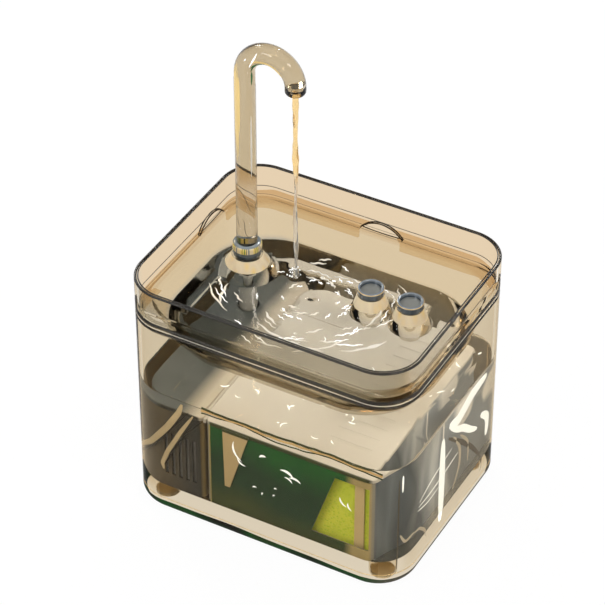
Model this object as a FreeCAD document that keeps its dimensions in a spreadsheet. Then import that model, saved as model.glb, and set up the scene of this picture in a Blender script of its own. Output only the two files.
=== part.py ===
import FreeCAD, Part
import math
import os
from types import SimpleNamespace

import Sketcher

os.makedirs("parts", exist_ok=True)
doc = FreeCAD.newDocument("pet_water_fountain")

# Driving dimensions in millimetres. +X is right along the broad front, +Y is back, +Z is up,
# and the origin lies under the middle of the tank, on the surface it stands on.
driving = {
    # how far a cutting form passes the face that it opens
    "cut_past": 1,
    # tank
    "body_width": 190,
    "body_depth": 150,
    "corner_radius": 26,
    "split_height": 145,
    "tank_wall": 3,
    "tank_floor": 4,
    "base_hollow": 12,
    "base_round": 7,
    "base_land": 1.5,
    "inner_round": 4,
    "rim_round": 0.7,
    "foot_radius": 7,
    "foot_thickness": 2.4,
    "foot_stand": 1.2,
    "foot_inset": 19,
    "foot_post_wall": 1.6,
    # tray
    "seat_gap": 0.3,
    "tray_rise": 24.7,
    "tray_wall": 2.5,
    "flange_thickness": 2.4,
    "skirt_depth": 6,
    "skirt_wall": 1.8,
    "skirt_clearance": 0.5,
    "bowl_skin": 2.2,
    "crest_rise": 10,
    "crest_radius": 5,
    "shoulder_rise": 2,
    "shoulder_side_inset": 6.5,
    "shoulder_back_inset": 10,
    "shoulder_radius": 30,
    "water_drop": 18,
    "water_side_inset": 8,
    "water_back_inset": 13.5,
    "water_radius": 42,
    "bowl_depth": 29,
    "floor_side_inset": 16,
    "floor_back_inset": 22,
    "floor_radius": 38,
    "notch_width": 29,
    "notch_height": 7.3,
    "cord_notch_offset": 4.5,
    "finger_notch_offset": 31.5,
    # faucet and the boss that it stands in
    "faucet_inset": 28,
    "faucet_back_inset": 44.6,
    "tube_diameter": 13,
    "tube_bore": 9,
    "arch_radius": 17.25,
    "arch_height": 123.5,
    "nozzle_drop": 5,
    "nozzle_length": 4.6,
    "nozzle_round": 3,
    "nozzle_spigot_length": 2,
    "nozzle_spigot_clearance": 0.3,
    "outlet_diameter": 4,
    "boss_foot_radius": 20,
    "boss_top_radius": 9.8,
    "boss_rise": 17,
    "socket_depth": 12,
    "socket_ledge": 1.5,
    "socket_clearance": 0.08,
    "sleeve_wall": 1.12,
    "sleeve_clearance": 0.08,
    "stop_lug_width": 0.9,
    "stop_lug_drop": 1.2,
    "stop_lug_angle": 20,
    "stop_groove_clearance": 0.3,
    "stop_spare_angle": 1,
    "swivel_left_limit": -115,
    "swivel_right_limit": 55,
    "collar_radius": 9.4,
    "collar_height": 7,
    "collar_round": 2.2,
    "ring_radius": 8.6,
    "ring_height": 2.5,
    "o_ring_groove_depth": 1.3,
    "o_ring_groove_width": 1.8,
    "o_ring_clearance": 0.03,
    "o_ring_pitch": 4,
    "o_ring_first": 3,
    # pipe under the tray and the hose
    "tail_bore": 4.6,
    "tail_spigot_diameter": 7.9,
    "tail_spigot_length": 6.6,
    "tail_thread_diameter": 10,
    "thread_clearance": 0.05,
    "thread_end_gap": 0.5,
    "tail_nut_width": 15,
    "tail_nut_height": 5,
    "gasket_thickness": 1.2,
    "gasket_radius": 8,
    "gasket_bore_clearance": 0.2,
    "hose_wall": 1.5,
    "hose_clearance": 0.05,
    # overflow posts and their caps
    "post_offset": 20,
    "post_spacing": 27,
    "post_foot_radius": 14,
    "post_top_radius": 8.25,
    "post_rise": 18,
    "post_bore": 5.9,
    "drip_tube_length": 6,
    "drip_tube_wall": 1.4,
    "slit_width": 2.4,
    "slit_height": 5.4,
    "slit_sill": 0.4,
    "cap_height": 4.6,
    "cap_rim": 1.7,
    "cap_recess": 2.4,
    "cap_edge_round": 0.6,
    "cap_plug_length": 5,
    "cap_clearance": 0.08,
    # filter module that fills the tank below the water
    "module_gap": 5,
    "module_height": 62,
    "module_radius": 17,
    "module_wall": 2,
    "inner_corner": 5,
    "chamber_reach": 25,
    "chamber_gap": 2,
    "housing_end_gap": 17,
    "lid_thickness": 2.6,
    "lid_lip": 3,
    "lid_lip_wall": 1.6,
    "lid_clearance": 0.4,
    "hose_hole_clearance": 1.5,
    "cord_pass_width": 6,
    "cord_pass_depth": 6,
    "inlet_width": 2.4,
    "inlet_length": 28,
    "inlet_pitch": 10,
    "inlet_count": 11,
    "lid_edge_round": 1,
    "intake_slot_width": 2.4,
    "intake_slot_pitch": 5,
    "intake_slot_count": 5,
    "intake_slot_height": 34,
    "intake_slot_sill": 10,
    "side_slot_width": 3,
    "side_slot_height": 16,
    "side_slot_pitch": 14,
    "side_slot_count": 5,
    "side_slot_sill": 10,
    "window_left_foot": 15.8,
    "window_slant": 16,
    "window_end_margin": 3,
    "window_sill": 7,
    "window_top": 5,
    "latch_width": 18,
    "latch_tip_width": 3.5,
    "latch_tip_inset": 1,
    "latch_length": 44,
    "latch_thickness": 1.4,
    "latch_gap": 0.3,
    "latch_offset": 12.5,
    # cartridges and foam
    "cartridge_width": 42,
    "cartridge_gap": 0.3,
    "frame_bar": 3,
    "frame_strip": 6,
    "strap_thickness": 1.2,
    "cartridge_floor_gap": 0.5,
    "strip_offset": 6,
    "carbon_width": 36,
    "carbon_gap": 2.5,
    "carbon_drop": 8,
    "prefilter_depth": 52,
    "prefilter_drop": 14,
    # pump
    "pump_width": 28,
    "pump_height": 32,
    "pump_corner": 4,
    "shaft_rise": 4,
    "motor_length": 19,
    "motor_wall": 1.8,
    "end_cap_thickness": 2.6,
    "well_radius": 7.2,
    "well_wall": 1.2,
    "well_depth": 15.5,
    "volute_radius": 14.5,
    "volute_length": 13,
    "volute_wall": 1.8,
    "volute_cavity_radius": 11.6,
    "volute_foot_width": 16,
    "volute_floor_gap": 0.5,
    "spigot_shoulder": 2,
    "pump_spigot_length": 14,
    "pump_intake_radius": 6.5,
    "bush_holder_radius": 3.2,
    "bush_holder_arm": 1.6,
    "intake_cover_length": 10,
    "intake_cover_wall": 1.6,
    "intake_cover_gap": 0.3,
    "cover_fit_length": 3,
    "cover_fit_clearance": 0.08,
    "cover_slot_width": 1.8,
    "cover_slot_length": 4,
    "cover_slot_start": 2,
    "dial_radius": 9,
    "dial_thickness": 2,
    "dial_tab_width": 3,
    "dial_tab_reach": 12.5,
    "dial_hole_radius": 2.3,
    "dial_hole_circle": 5.6,
    "dial_hole_count": 4,
    "dial_head_radius": 2.4,
    "dial_head_thickness": 0.8,
    "dial_pin_radius": 1.4,
    "dial_clearance": 0.08,
    "dial_gap": 0.3,
    "cup_radius": 5.5,
    "cup_height": 5,
    "cup_top_radius": 2.2,
    "cup_spacing": 14,
    "cup_motor_offset": 13,
    "gland_radius": 3.4,
    "gland_length": 9,
    "gland_bore": 1.8,
    "gland_neck_radius": 2.6,
    "gland_flange_radius": 4.4,
    "gland_flange_thickness": 1.5,
    # turning parts of the pump
    "shaft_radius": 1,
    "rotor_clearance": 0.06,
    "rotor_end_gap": 0.8,
    "hub_end_gap": 0.4,
    "magnet_radius": 6.4,
    "hub_radius": 3.6,
    "blade_tip_radius": 10,
    "blade_thickness": 1.4,
    "blade_height": 6,
    "blade_gap": 1.5,
    "blade_count": 6,
    "impeller_plate": 1.4,
    "bush_radius": 2.4,
    "bush_length": 2.5,
    "core_thickness": 12,
    "core_limb_inset": 7,
    "core_limb_rise": 6,
    "core_gap": 0.2,
    "coil_build": 1.8,
    "coil_gap": 0.5,
    "coil_floor_gap": 0.6,
    "coil_well_gap": 0.6,
}
sheet = doc.addObject("Spreadsheet::Sheet", "sizes")
for row, (alias, value) in enumerate(driving.items(), start=1):
    sheet.set(f"A{row}", alias)
    sheet.set(f"B{row}", str(value))
    sheet.setAlias(f"B{row}", alias)
doc.recompute()


class Size:
    """A length kept both as a formula on the sheet and as its number."""

    def __init__(self, text, number):
        self.text = text
        self.number = number

    def __add__(self, other):
        return combined(self, "+", other)

    def __radd__(self, other):
        return combined(other, "+", self)

    def __sub__(self, other):
        return combined(self, "-", other)

    def __rsub__(self, other):
        return combined(other, "-", self)

    def __mul__(self, other):
        return combined(self, "*", other)

    def __rmul__(self, other):
        return combined(other, "*", self)

    def __truediv__(self, other):
        return combined(self, "/", other)

    def __neg__(self):
        return combined(0, "-", self)


def as_size(value):
    return value if isinstance(value, Size) else Size(repr(value), float(value))


def combined(left, sign, right):
    left, right = as_size(left), as_size(right)
    numbers = {
        "+": left.number + right.number,
        "-": left.number - right.number,
        "*": left.number * right.number,
        "/": left.number / right.number if right.number else 0.0,
    }
    return Size(f"({left.text} {sign} {right.text})", numbers[sign])


def bind(thing, **links):
    """Ties properties of an object to sizes. A dot in a property's path is written as two underscores."""
    for path, size in links.items():
        thing.setExpression(path.replace("__", "."), as_size(size).text)
    return thing


def place(thing, x=0, y=0, z=0, turn=None):
    if turn is not None:
        thing.Placement = FreeCAD.Placement(FreeCAD.Vector(), turn)
    return bind(thing, Placement__Base__x=x, Placement__Base__y=y, Placement__Base__z=z)


along_x = FreeCAD.Rotation(FreeCAD.Vector(0, 1, 0), 90)
along_y = FreeCAD.Rotation(FreeCAD.Vector(1, 0, 0), -90)
size = SimpleNamespace(**{alias: Size(f"sizes.{alias}", value) for alias, value in driving.items()})


def cylinder(name, radius, height, x=0, y=0, z=0, turn=None):
    made = bind(doc.addObject("Part::Cylinder", name), Radius=radius, Height=height)
    return place(made, x, y, z, turn)


def cone(name, low_radius, top_radius, height, x=0, y=0, z=0):
    made = doc.addObject("Part::Cone", name)
    return place(bind(made, Radius1=low_radius, Radius2=top_radius, Height=height), x, y, z)


def block(name, x, y, z):
    """A box given by its low and high side along each axis."""
    made = doc.addObject("Part::Box", name)
    bind(made, Length=x[1] - x[0], Width=y[1] - y[0], Height=z[1] - z[0])
    return place(made, x[0], y[0], z[0])


def join(name, *pieces):
    made = doc.addObject("Part::MultiFuse", name)
    made.Shapes = list(pieces)
    made.Refine = True
    return made


def cut(name, base, *tools):
    made = doc.addObject("Part::Cut", name)
    made.Base = base
    made.Tool = tools[0] if len(tools) == 1 else join(name + "_tools", *tools)
    return made


def overlap(name, *pieces):
    made = doc.addObject("Part::MultiCommon", name)
    made.Shapes = list(pieces)
    return made


def tie_point(sketch, line, end, name, x, y):
    """Fixes one end of a sketch line at two sizes measured from the sketch's origin."""
    for kind, axis, length in (("DistanceX", -2, x), ("DistanceY", -1, y)):
        length = as_size(length)
        if length.number == 0:
            sketch.addConstraint(Sketcher.Constraint("PointOnObject", line, end, axis))
            continue
        index = sketch.addConstraint(Sketcher.Constraint(kind, -1, 1, line, end, length.number))
        sketch.renameConstraint(index, f"{name}_{kind[-1].lower()}")
        sketch.setExpression(f"Constraints.{name}_{kind[-1].lower()}", length.text)


def closed_profile(sketch, points):
    """A closed run of straight lines through points that are given as pairs of sizes."""
    numbers = [FreeCAD.Vector(as_size(x).number, as_size(y).number, 0) for x, y in points]
    for place_in_list, start in enumerate(numbers):
        following = numbers[(place_in_list + 1) % len(numbers)]
        sketch.addGeometry(Part.LineSegment(start, following))
    for line in range(len(points)):
        sketch.addConstraint(Sketcher.Constraint("Coincident", line, 2, (line + 1) % len(points), 1))
    for line, (x, y) in enumerate(points):
        tie_point(sketch, line, 1, f"point_{line}", x, y)
    return sketch


def rounded_outline(sketch, width, depth, radius):
    """A rectangle with round corners about the sketch's origin."""
    width, depth, radius = as_size(width), as_size(depth), as_size(radius)
    a, b, r = width.number / 2, depth.number / 2, radius.number
    corners = [(a - r, b - r, 0), (r - a, b - r, 90), (r - a, r - b, 180), (a - r, r - b, 270)]
    for x, y, start in corners:
        circle = Part.Circle(FreeCAD.Vector(x, y, 0), FreeCAD.Vector(0, 0, 1), r)
        sketch.addGeometry(Part.ArcOfCircle(circle, math.radians(start), math.radians(start + 90)))
    back_and_left = [((a - r, b), (r - a, b)), ((-a, b - r), (-a, r - b))]
    front_and_right = [((r - a, -b), (a - r, -b)), ((a, r - b), (a, b - r))]
    for start, end in back_and_left + front_and_right:
        sketch.addGeometry(Part.LineSegment(FreeCAD.Vector(*start, 0), FreeCAD.Vector(*end, 0)))
    for arc in range(4):
        line = 4 + arc
        sketch.addConstraint(Sketcher.Constraint("Tangent", arc, 2, line, 1))
        sketch.addConstraint(Sketcher.Constraint("Tangent", line, 2, (arc + 1) % 4, 1))
        sketch.addConstraint(Sketcher.Constraint("Horizontal" if arc % 2 == 0 else "Vertical", line))
    for arc in range(1, 4):
        sketch.addConstraint(Sketcher.Constraint("Equal", 0, arc))
    limits = [("Radius", (0, r), "corner", radius), ("DistanceX", (5, 1, 7, 1, 2 * a), "width", width)]
    limits += [("DistanceY", (6, 1, 4, 1, 2 * b), "depth", depth)]
    limits += [("DistanceX", (-1, 1, 7, 1, a), "half_width", width / 2)]
    limits += [("DistanceY", (-1, 1, 4, 1, b), "half_depth", depth / 2)]
    for kind, where, name, length in limits:
        sketch.renameConstraint(sketch.addConstraint(Sketcher.Constraint(kind, *where)), name)
        sketch.setExpression(f"Constraints.{name}", length.text)
    return sketch


def flat_outline(name, width, depth, radius, x=0, y=0, z=0):
    sketch = rounded_outline(doc.addObject("Sketcher::SketchObject", name), width, depth, radius)
    return place(sketch, x, y, z)


def slab(name, width, depth, radius, low, high, x=0, y=0):
    """A plate or block with round upright edges, standing from one height to another."""
    made = doc.addObject("Part::Extrusion", name)
    made.Base = flat_outline(name + "_outline", width, depth, radius)
    made.DirMode = "Normal"
    made.Solid = True
    bind(made, LengthFwd=high - low)
    return place(made, x, y, low)


def turned(name, profile, x=0, y=0, z=0, turn=None):
    """A piece turned about its own upright axis, from pairs of radius and height."""
    made = doc.addObject("PartDesign::Body", name)
    sketch = made.newObject("Sketcher::SketchObject", name + "_profile")
    upright = [plane for plane in made.Origin.OriginFeatures if plane.Role == "XZ_Plane"][0]
    sketch.AttachmentSupport = [(upright, "")]
    sketch.MapMode = "FlatFace"
    closed_profile(sketch, profile)
    turning = made.newObject("PartDesign::Revolution", name + "_turning")
    turning.Profile = sketch
    turning.ReferenceAxis = (sketch, ["V_Axis"])
    turning.Angle = 360
    return place(made, x, y, z, turn)


def prism(name, profile, depth, x=0, y=0, z=0):
    """A flat profile in the upright plane across X, carried back along Y."""
    sketch = closed_profile(doc.addObject("Sketcher::SketchObject", name + "_profile"), profile)
    sketch.Placement = FreeCAD.Placement(FreeCAD.Vector(), FreeCAD.Rotation(FreeCAD.Vector(1, 0, 0), 90))
    made = doc.addObject("Part::Extrusion", name)
    made.Base = sketch
    made.DirMode = "Custom"
    made.Dir = FreeCAD.Vector(0, 1, 0)
    made.Solid = True
    bind(made, LengthFwd=depth)
    return place(made, x, y, z)


sub_parts = []


def sub_part(name, solid):
    solid.Label = name
    sub_parts.append(solid)
    return solid


def design(name):
    return doc.addObject("PartDesign::Body", name)


def layer(body, name, width, depth, radius, level):
    """A round-cornered outline drawn in a body at one height."""
    sketch = body.newObject("Sketcher::SketchObject", name)
    ground = [plane for plane in body.Origin.OriginFeatures if plane.Role == "XY_Plane"][0]
    sketch.AttachmentSupport = [(ground, "")]
    sketch.MapMode = "FlatFace"
    sketch.setExpression("AttachmentOffset.Base.z", as_size(level).text)
    return rounded_outline(sketch, width, depth, radius)


def pad(body, name, width, depth, radius, low, high):
    made = body.newObject("PartDesign::Pad", name)
    made.Profile = layer(body, name + "_outline", width, depth, radius, low)
    bind(made, Length=high - low)
    doc.recompute()
    return made


def pocket(body, name, width, depth, radius, low, high, upwards=False):
    """Hollows a body between two heights: from the top down, or upwards from its underside."""
    before = body.Shape.Volume
    made = body.newObject("PartDesign::Pocket", name)
    made.Profile = layer(body, name + "_outline", width, depth, radius, low if upwards else high)
    made.Reversed = upwards
    bind(made, Length=high - low)
    doc.recompute()
    if body.Shape.Volume > before - 1:
        raise RuntimeError(name + " cuts nothing")
    return made


def round_level(body, name, radius, level, keep=None):
    """Rounds every edge of a body that lies flat at one height."""
    base = body.Tip
    doc.recompute()
    chosen = []
    for number, edge in enumerate(base.Shape.Edges, start=1):
        box = edge.BoundBox
        flat = abs(box.ZMin - as_size(level).number) < 1e-4 and abs(box.ZMax - as_size(level).number) < 1e-4
        if flat and (keep is None or keep(box)):
            chosen.append(f"Edge{number}")
    made = body.newObject("PartDesign::Fillet", name)
    made.Base = (base, chosen)
    bind(made, Radius=radius)
    doc.recompute()
    return made


def group(name, pieces):
    made = doc.addObject("Part::Compound", name)
    made.Links = list(pieces)
    return made


# Places that several pieces share
half_width = size.body_width / 2
half_depth = size.body_depth / 2
floor_under = size.foot_stand + size.base_hollow
floor_top = floor_under + size.tank_floor
tray_seat = size.split_height + size.seat_gap
tray_top = tray_seat + size.tray_rise
faucet_x = size.faucet_inset - half_width
faucet_y = half_depth - size.faucet_back_inset
bowl_floor = size.split_height - size.bowl_depth
bowl_under = bowl_floor - size.bowl_skin
post_places = [size.post_offset, size.post_offset + size.post_spacing]

# Tank: a clear box on a hollow base, with a post for a foot pad under each corner
tank_body = design("tank_body")
pad(
    tank_body,
    "tank_block",
    size.body_width,
    size.body_depth,
    size.corner_radius,
    size.foot_stand,
    size.split_height,
)
round_level(tank_body, "base_rounding", size.base_round, size.foot_stand)
pocket(
    tank_body,
    "tank_hollow",
    size.body_width - 2 * size.tank_wall,
    size.body_depth - 2 * size.tank_wall,
    size.corner_radius - size.tank_wall,
    floor_top,
    size.split_height,
)
round_level(tank_body, "floor_rounding", size.inner_round, floor_top)
base_inset = size.base_round + size.base_land
pocket(
    tank_body,
    "tank_base_hollow",
    size.body_width - 2 * base_inset,
    size.body_depth - 2 * base_inset,
    size.corner_radius - base_inset,
    size.foot_stand,
    floor_under,
    upwards=True,
)
round_level(tank_body, "tank_rim_rounding", size.rim_round, size.split_height)
foot_posts, foot_recesses, foot_pads = [], [], []
for side, sign_x in (("right", 1), ("left", -1)):
    for end, sign_y in (("back", 1), ("front", -1)):
        x = sign_x * (half_width - size.foot_inset)
        y = sign_y * (half_depth - size.foot_inset)
        corner = f"{end}_{side}"
        post_radius = size.foot_radius + size.foot_post_wall
        foot_posts.append(
            cylinder(f"foot_post_{corner}", post_radius, size.base_hollow, x, y, size.foot_stand)
        )
        recess_depth = size.foot_thickness - size.foot_stand
        foot_recesses.append(
            cylinder(f"foot_recess_{corner}", size.foot_radius, recess_depth, x, y, size.foot_stand)
        )
        foot_pads.append(cylinder(f"foot_pad_{corner}", size.foot_radius, size.foot_thickness, x, y, 0))
tank_and_posts = join("tank_and_posts", tank_body, *foot_posts)
sub_part("tank", cut("tank_with_feet", tank_and_posts, *foot_recesses))
sub_part("foot_pads", group("foot_pad_group", foot_pads))


# Tray: a wall that stands on the tank, a skirt that locates it, and a sloping bowl inside
def inset_slab(name, inset, low, high):
    """A slab inside the body's outline, by the same inset all round."""
    width = size.body_width - 2 * inset
    depth = size.body_depth - 2 * inset
    return slab(name, width, depth, size.corner_radius - inset, low, high)


skirt_outside = size.tank_wall + size.skirt_clearance
skirt_inside = skirt_outside + size.skirt_wall
flange_top = tray_seat + size.flange_thickness


def is_outside_edge(box):
    """Whether an edge belongs to the tray wall's outside face."""
    middle_of_wall = size.tray_wall.number / 2
    reach_x = half_width.number - abs(box.Center.x)
    reach_y = half_depth.number - abs(box.Center.y)
    corner = size.corner_radius.number
    from_corner = corner - math.hypot(corner - reach_x, corner - reach_y)
    return min(reach_x, reach_y) < middle_of_wall or from_corner < middle_of_wall


wall_block = design("tray_wall_block")
pad(wall_block, "tray_block", size.body_width, size.body_depth, size.corner_radius, tray_seat, tray_top)
pocket(
    wall_block,
    "tray_opening",
    size.body_width - 2 * size.tray_wall,
    size.body_depth - 2 * size.tray_wall,
    size.corner_radius - size.tray_wall,
    tray_seat,
    tray_top,
)
round_level(wall_block, "tray_rim_rounding", size.rim_round, tray_top)
round_level(
    wall_block,
    "tray_foot_rounding",
    size.rim_round,
    tray_seat,
    is_outside_edge,
)
wall_middle = size.tray_wall / 2
flange = cut(
    "tray_flange",
    inset_slab("flange_outside", wall_middle, tray_seat, flange_top),
    inset_slab("flange_inside", skirt_inside, tray_seat, flange_top),
)
skirt = cut(
    "tray_skirt",
    inset_slab("skirt_outside_slab", skirt_outside, tray_seat - size.skirt_depth, flange_top),
    inset_slab("skirt_inside_slab", skirt_inside, tray_seat - size.skirt_depth, flange_top),
)
notch_radius = (size.notch_width * size.notch_width / 4 + size.notch_height * size.notch_height) / (
    2 * size.notch_height
)
notch_reach = skirt_inside + size.cut_past


def arched_notch(name, turn, x, y):
    """A mouse-hole shaped cutter that stands on the tray's seat and also clears the skirt below."""
    along_wall_x = turn is along_y
    centre = tray_seat + size.notch_height - notch_radius
    bore = cylinder(name + "_arch", notch_radius, 2 * notch_reach, x, y, centre, turn)
    if along_wall_x:
        place(bore, x, y - notch_reach, centre, turn)
        spans = (x - size.notch_width / 2, x + size.notch_width / 2), (y - notch_reach, y + notch_reach)
    else:
        place(bore, x - notch_reach, y, centre, turn)
        spans = (x - notch_reach, x + notch_reach), (y - size.notch_width / 2, y + size.notch_width / 2)
    above = block(name + "_above", *spans, (tray_seat, tray_seat + size.notch_height))
    below = block(name + "_below", *spans, (tray_seat - size.skirt_depth - size.cut_past, tray_seat))
    return join(name, overlap(name + "_top", bore, above), below)


cord_notch = arched_notch("cord_notch", along_y, size.cord_notch_offset, half_depth)
finger_notch = arched_notch("finger_notch", along_x, -half_width, size.finger_notch_offset)
tray_frame = cut("tray_frame", join("tray_wall_parts", wall_block, flange, skirt), cord_notch, finger_notch)


def bowl_loft(name, skin):
    """The bowl's form from crest to floor, grown by a skin, with sections that get narrower and rounder."""
    sections = [
        (size.crest_rise, size.tray_wall, size.tray_wall, size.crest_radius),
        (size.shoulder_rise, size.shoulder_side_inset, size.shoulder_back_inset, size.shoulder_radius),
        (-size.water_drop, size.water_side_inset, size.water_back_inset, size.water_radius),
        (-size.bowl_depth - skin, size.floor_side_inset, size.floor_back_inset, size.floor_radius),
    ]
    outlines = []
    for number, (rise, side, back, radius) in enumerate(sections):
        width = size.body_width - 2 * (side - skin)
        depth = size.body_depth - 2 * (back - skin)
        level = size.split_height + rise
        outlines.append(flat_outline(f"{name}_{number}", width, depth, radius + skin, z=level))
    made = doc.addObject("Part::Loft", name)
    made.Sections = outlines
    made.Solid = True
    made.Ruled = True
    return made


bowl_outside = bowl_loft("bowl_outside", size.bowl_skin)
bowl_inside = bowl_loft("bowl_inside", as_size(0))
crest = size.split_height + size.crest_rise
bowl_limit = join(
    "bowl_limit",
    inset_slab("bowl_limit_low", skirt_outside, bowl_under - size.cut_past, flange_top),
    inset_slab("bowl_limit_high", wall_middle, tray_seat, crest + size.cut_past),
)
bowl_space = join(
    "bowl_space",
    overlap(
        "bowl_space_low",
        bowl_inside,
        inset_slab("bowl_space_limit", size.tray_wall, bowl_floor - size.cut_past, crest),
    ),
    inset_slab("bowl_space_high", size.tray_wall, crest, tray_top + size.cut_past),
)
bowl_skin = cut("bowl_skin_shell", overlap("bowl_skin_block", bowl_outside, bowl_limit), bowl_space)
boss_top = bowl_floor + size.boss_rise
post_top = bowl_floor + size.post_rise
stands = [
    cone(
        "boss_cone",
        size.boss_foot_radius,
        size.boss_top_radius,
        size.boss_rise,
        faucet_x,
        faucet_y,
        bowl_floor,
    )
]
for number, x in enumerate(post_places):
    stands.append(
        cone(
            f"post_cone_{number}",
            size.post_foot_radius,
            size.post_top_radius,
            size.post_rise,
            x,
            faucet_y,
            bowl_floor,
        )
    )
stand_block = overlap("stands_in_bowl", join("stands", *stands), bowl_outside)
drip_tubes, drains = [], []
for number, x in enumerate(post_places):
    tube_radius = size.post_bore + size.drip_tube_wall
    tube_low = bowl_under - size.drip_tube_length
    tube_high = bowl_floor - tube_low
    drip_tubes.append(cylinder(f"drip_tube_{number}", tube_radius, tube_high, x, faucet_y, tube_low))
    drains.append(cylinder(f"drain_{number}", size.post_bore, post_top - tube_low, x, faucet_y, tube_low))
    sill = size.split_height - size.water_drop - size.slit_sill
    slit_reach = size.post_foot_radius
    drains.append(
        block(
            f"slit_{number}",
            (x - slit_reach, x + slit_reach),
            (faucet_y - size.slit_width / 2, faucet_y + size.slit_width / 2),
            (sill, sill + size.slit_height),
        )
    )
stem_radius = size.tube_diameter / 2
sleeve_bore = stem_radius + size.socket_clearance
sleeve_radius = sleeve_bore + size.sleeve_wall
socket_radius = sleeve_radius + size.sleeve_clearance
socket_floor = boss_top - size.socket_depth
thread_top = socket_floor - size.socket_ledge
socket = cylinder("faucet_socket", socket_radius, size.socket_depth, faucet_x, faucet_y, socket_floor)
water_way = cylinder(
    "boss_water_way", size.tail_bore / 2, size.socket_depth, faucet_x, faucet_y, thread_top - size.cut_past
)


def ring_sector(name, inside, outside, low, high, start, sweep):
    """Part of a flat ring about the faucet's axis, between two angles counted from +X."""
    around = FreeCAD.Rotation(FreeCAD.Vector(0, 0, 1), start.number)
    made = cylinder(name + "_outside", outside, high - low, faucet_x, faucet_y, low, around)
    bind(made, Angle=sweep)
    return cut(name, made, cylinder(name + "_inside", inside, high - low, faucet_x, faucet_y, low))


# A groove in the socket's floor, where the swivel collar's lug meets a stop at each end of its turn
lug_inside = sleeve_radius - size.stop_lug_width
half_lug = size.stop_lug_angle / 2 + size.stop_spare_angle
stop_groove = ring_sector(
    "stop_groove",
    lug_inside - size.stop_groove_clearance,
    socket_radius,
    socket_floor - size.stop_lug_drop,
    socket_floor + size.cut_past,
    size.swivel_left_limit - half_lug,
    size.swivel_right_limit - size.swivel_left_limit + 2 * half_lug,
)
thread_bore = cylinder(
    "boss_thread_bore",
    size.tail_thread_diameter / 2 + size.thread_clearance,
    thread_top - bowl_under,
    faucet_x,
    faucet_y,
    bowl_under,
)
sub_part(
    "tray",
    cut(
        "tray_solid",
        join("tray_block_parts", tray_frame, bowl_skin, stand_block, *drip_tubes),
        *drains,
        socket,
        stop_groove,
        water_way,
        thread_bore,
    ),
)

# Steel ring round the boss's mouth, and the clear swivel collar whose sleeve turns in the boss
ring_top = boss_top + size.ring_height
ring_profile = [
    (socket_radius, 0),
    (size.ring_radius, 0),
    (size.ring_radius, size.ring_height),
    (socket_radius, size.ring_height),
]
sub_part("collar_ring", turned("collar_ring_solid", ring_profile, faucet_x, faucet_y, boss_top))
collar_low = ring_top + size.seat_gap
collar_top = ring_top + size.collar_height
sleeve_low = socket_floor + size.seat_gap
collar_profile = [
    (sleeve_bore, 0),
    (sleeve_radius, 0),
    (sleeve_radius, collar_low - sleeve_low),
    (size.collar_radius, collar_low - sleeve_low),
    (size.collar_radius, collar_top - sleeve_low),
    (sleeve_bore, collar_top - sleeve_low),
]
collar = turned("swivel_collar_solid", collar_profile, faucet_x, faucet_y, sleeve_low)
middle_of_top = size.collar_radius.number + sleeve_bore.number
round_level(
    collar,
    "collar_shoulder",
    size.collar_round,
    collar_top - sleeve_low,
    lambda box: box.XLength > middle_of_top,
)
stop_lug = ring_sector(
    "stop_lug",
    lug_inside,
    sleeve_radius,
    sleeve_low - size.stop_lug_drop + size.seat_gap,
    sleeve_low,
    -size.stop_lug_angle / 2,
    size.stop_lug_angle,
)
sub_part("faucet_collar", join("faucet_collar_solid", collar, stop_lug))

# Pipe screwed into the boss from below, with its gasket; the hose pushes onto its spigot
nut_top = bowl_under - size.gasket_thickness
nut_low = nut_top - size.tail_nut_height
spigot_radius = size.tail_spigot_diameter / 2
thread_radius = size.tail_thread_diameter / 2
gasket = cylinder("gasket_disc", size.gasket_radius, size.gasket_thickness, faucet_x, faucet_y, nut_top)
gasket_bore = thread_radius + size.gasket_bore_clearance
gasket_hole = cylinder("gasket_hole", gasket_bore, size.gasket_thickness, faucet_x, faucet_y, nut_top)
sub_part("tail_gasket", cut("tail_gasket_solid", gasket, gasket_hole))
nut = doc.addObject("Part::Prism", "tail_nut")
nut.Polygon = 6
bind(nut, Circumradius=size.tail_nut_width / round(math.sqrt(3), 6), Height=size.tail_nut_height)
place(nut, faucet_x, faucet_y, nut_low)
thread_length = thread_top - size.thread_end_gap - nut_top
thread = cylinder("tail_thread", thread_radius, thread_length, faucet_x, faucet_y, nut_top)
spigot_low = nut_low - size.tail_spigot_length
spigot = cylinder("tail_spigot", spigot_radius, size.tail_spigot_length, faucet_x, faucet_y, spigot_low)
pipe_length = thread_top - spigot_low
pipe_bore = cylinder("tail_pipe_bore", size.tail_bore / 2, pipe_length, faucet_x, faucet_y, spigot_low)
sub_part("tail_pipe", cut("tail_pipe_solid", join("tail_pipe_form", nut, thread, spigot), pipe_bore))

# Faucet: one tube that rises, bends over in a half circle and drops to the nozzle
arch_centre = size.split_height + size.arch_height
faucet_end = arch_centre - size.nozzle_drop
tube_end = faucet_end + size.nozzle_length
faucet_foot = sleeve_low
nozzle_x = faucet_x + 2 * size.arch_radius
arch_upright = FreeCAD.Rotation(FreeCAD.Vector(1, 0, 0), 90)


def ring_form(name, middle_radius, section_radius, x, y, z, turn=None, sweep=360):
    """A ring of round section, or the part of one that a sweep in degrees gives."""
    made = bind(doc.addObject("Part::Torus", name), Radius1=middle_radius, Radius2=section_radius)
    made.Angle3 = sweep
    return place(made, x, y, z, turn)


def bent_tube(name, radius):
    bend_x = faucet_x + size.arch_radius
    stem = cylinder(name + "_stem", radius, arch_centre - faucet_foot, faucet_x, faucet_y, faucet_foot)
    bend_name = name + "_bend"
    bend = ring_form(bend_name, size.arch_radius, radius, bend_x, faucet_y, arch_centre, arch_upright, 180)
    drop = cylinder(name + "_drop", radius, arch_centre - tube_end, nozzle_x, faucet_y, tube_end)
    return join(name, stem, bend, drop)


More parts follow.
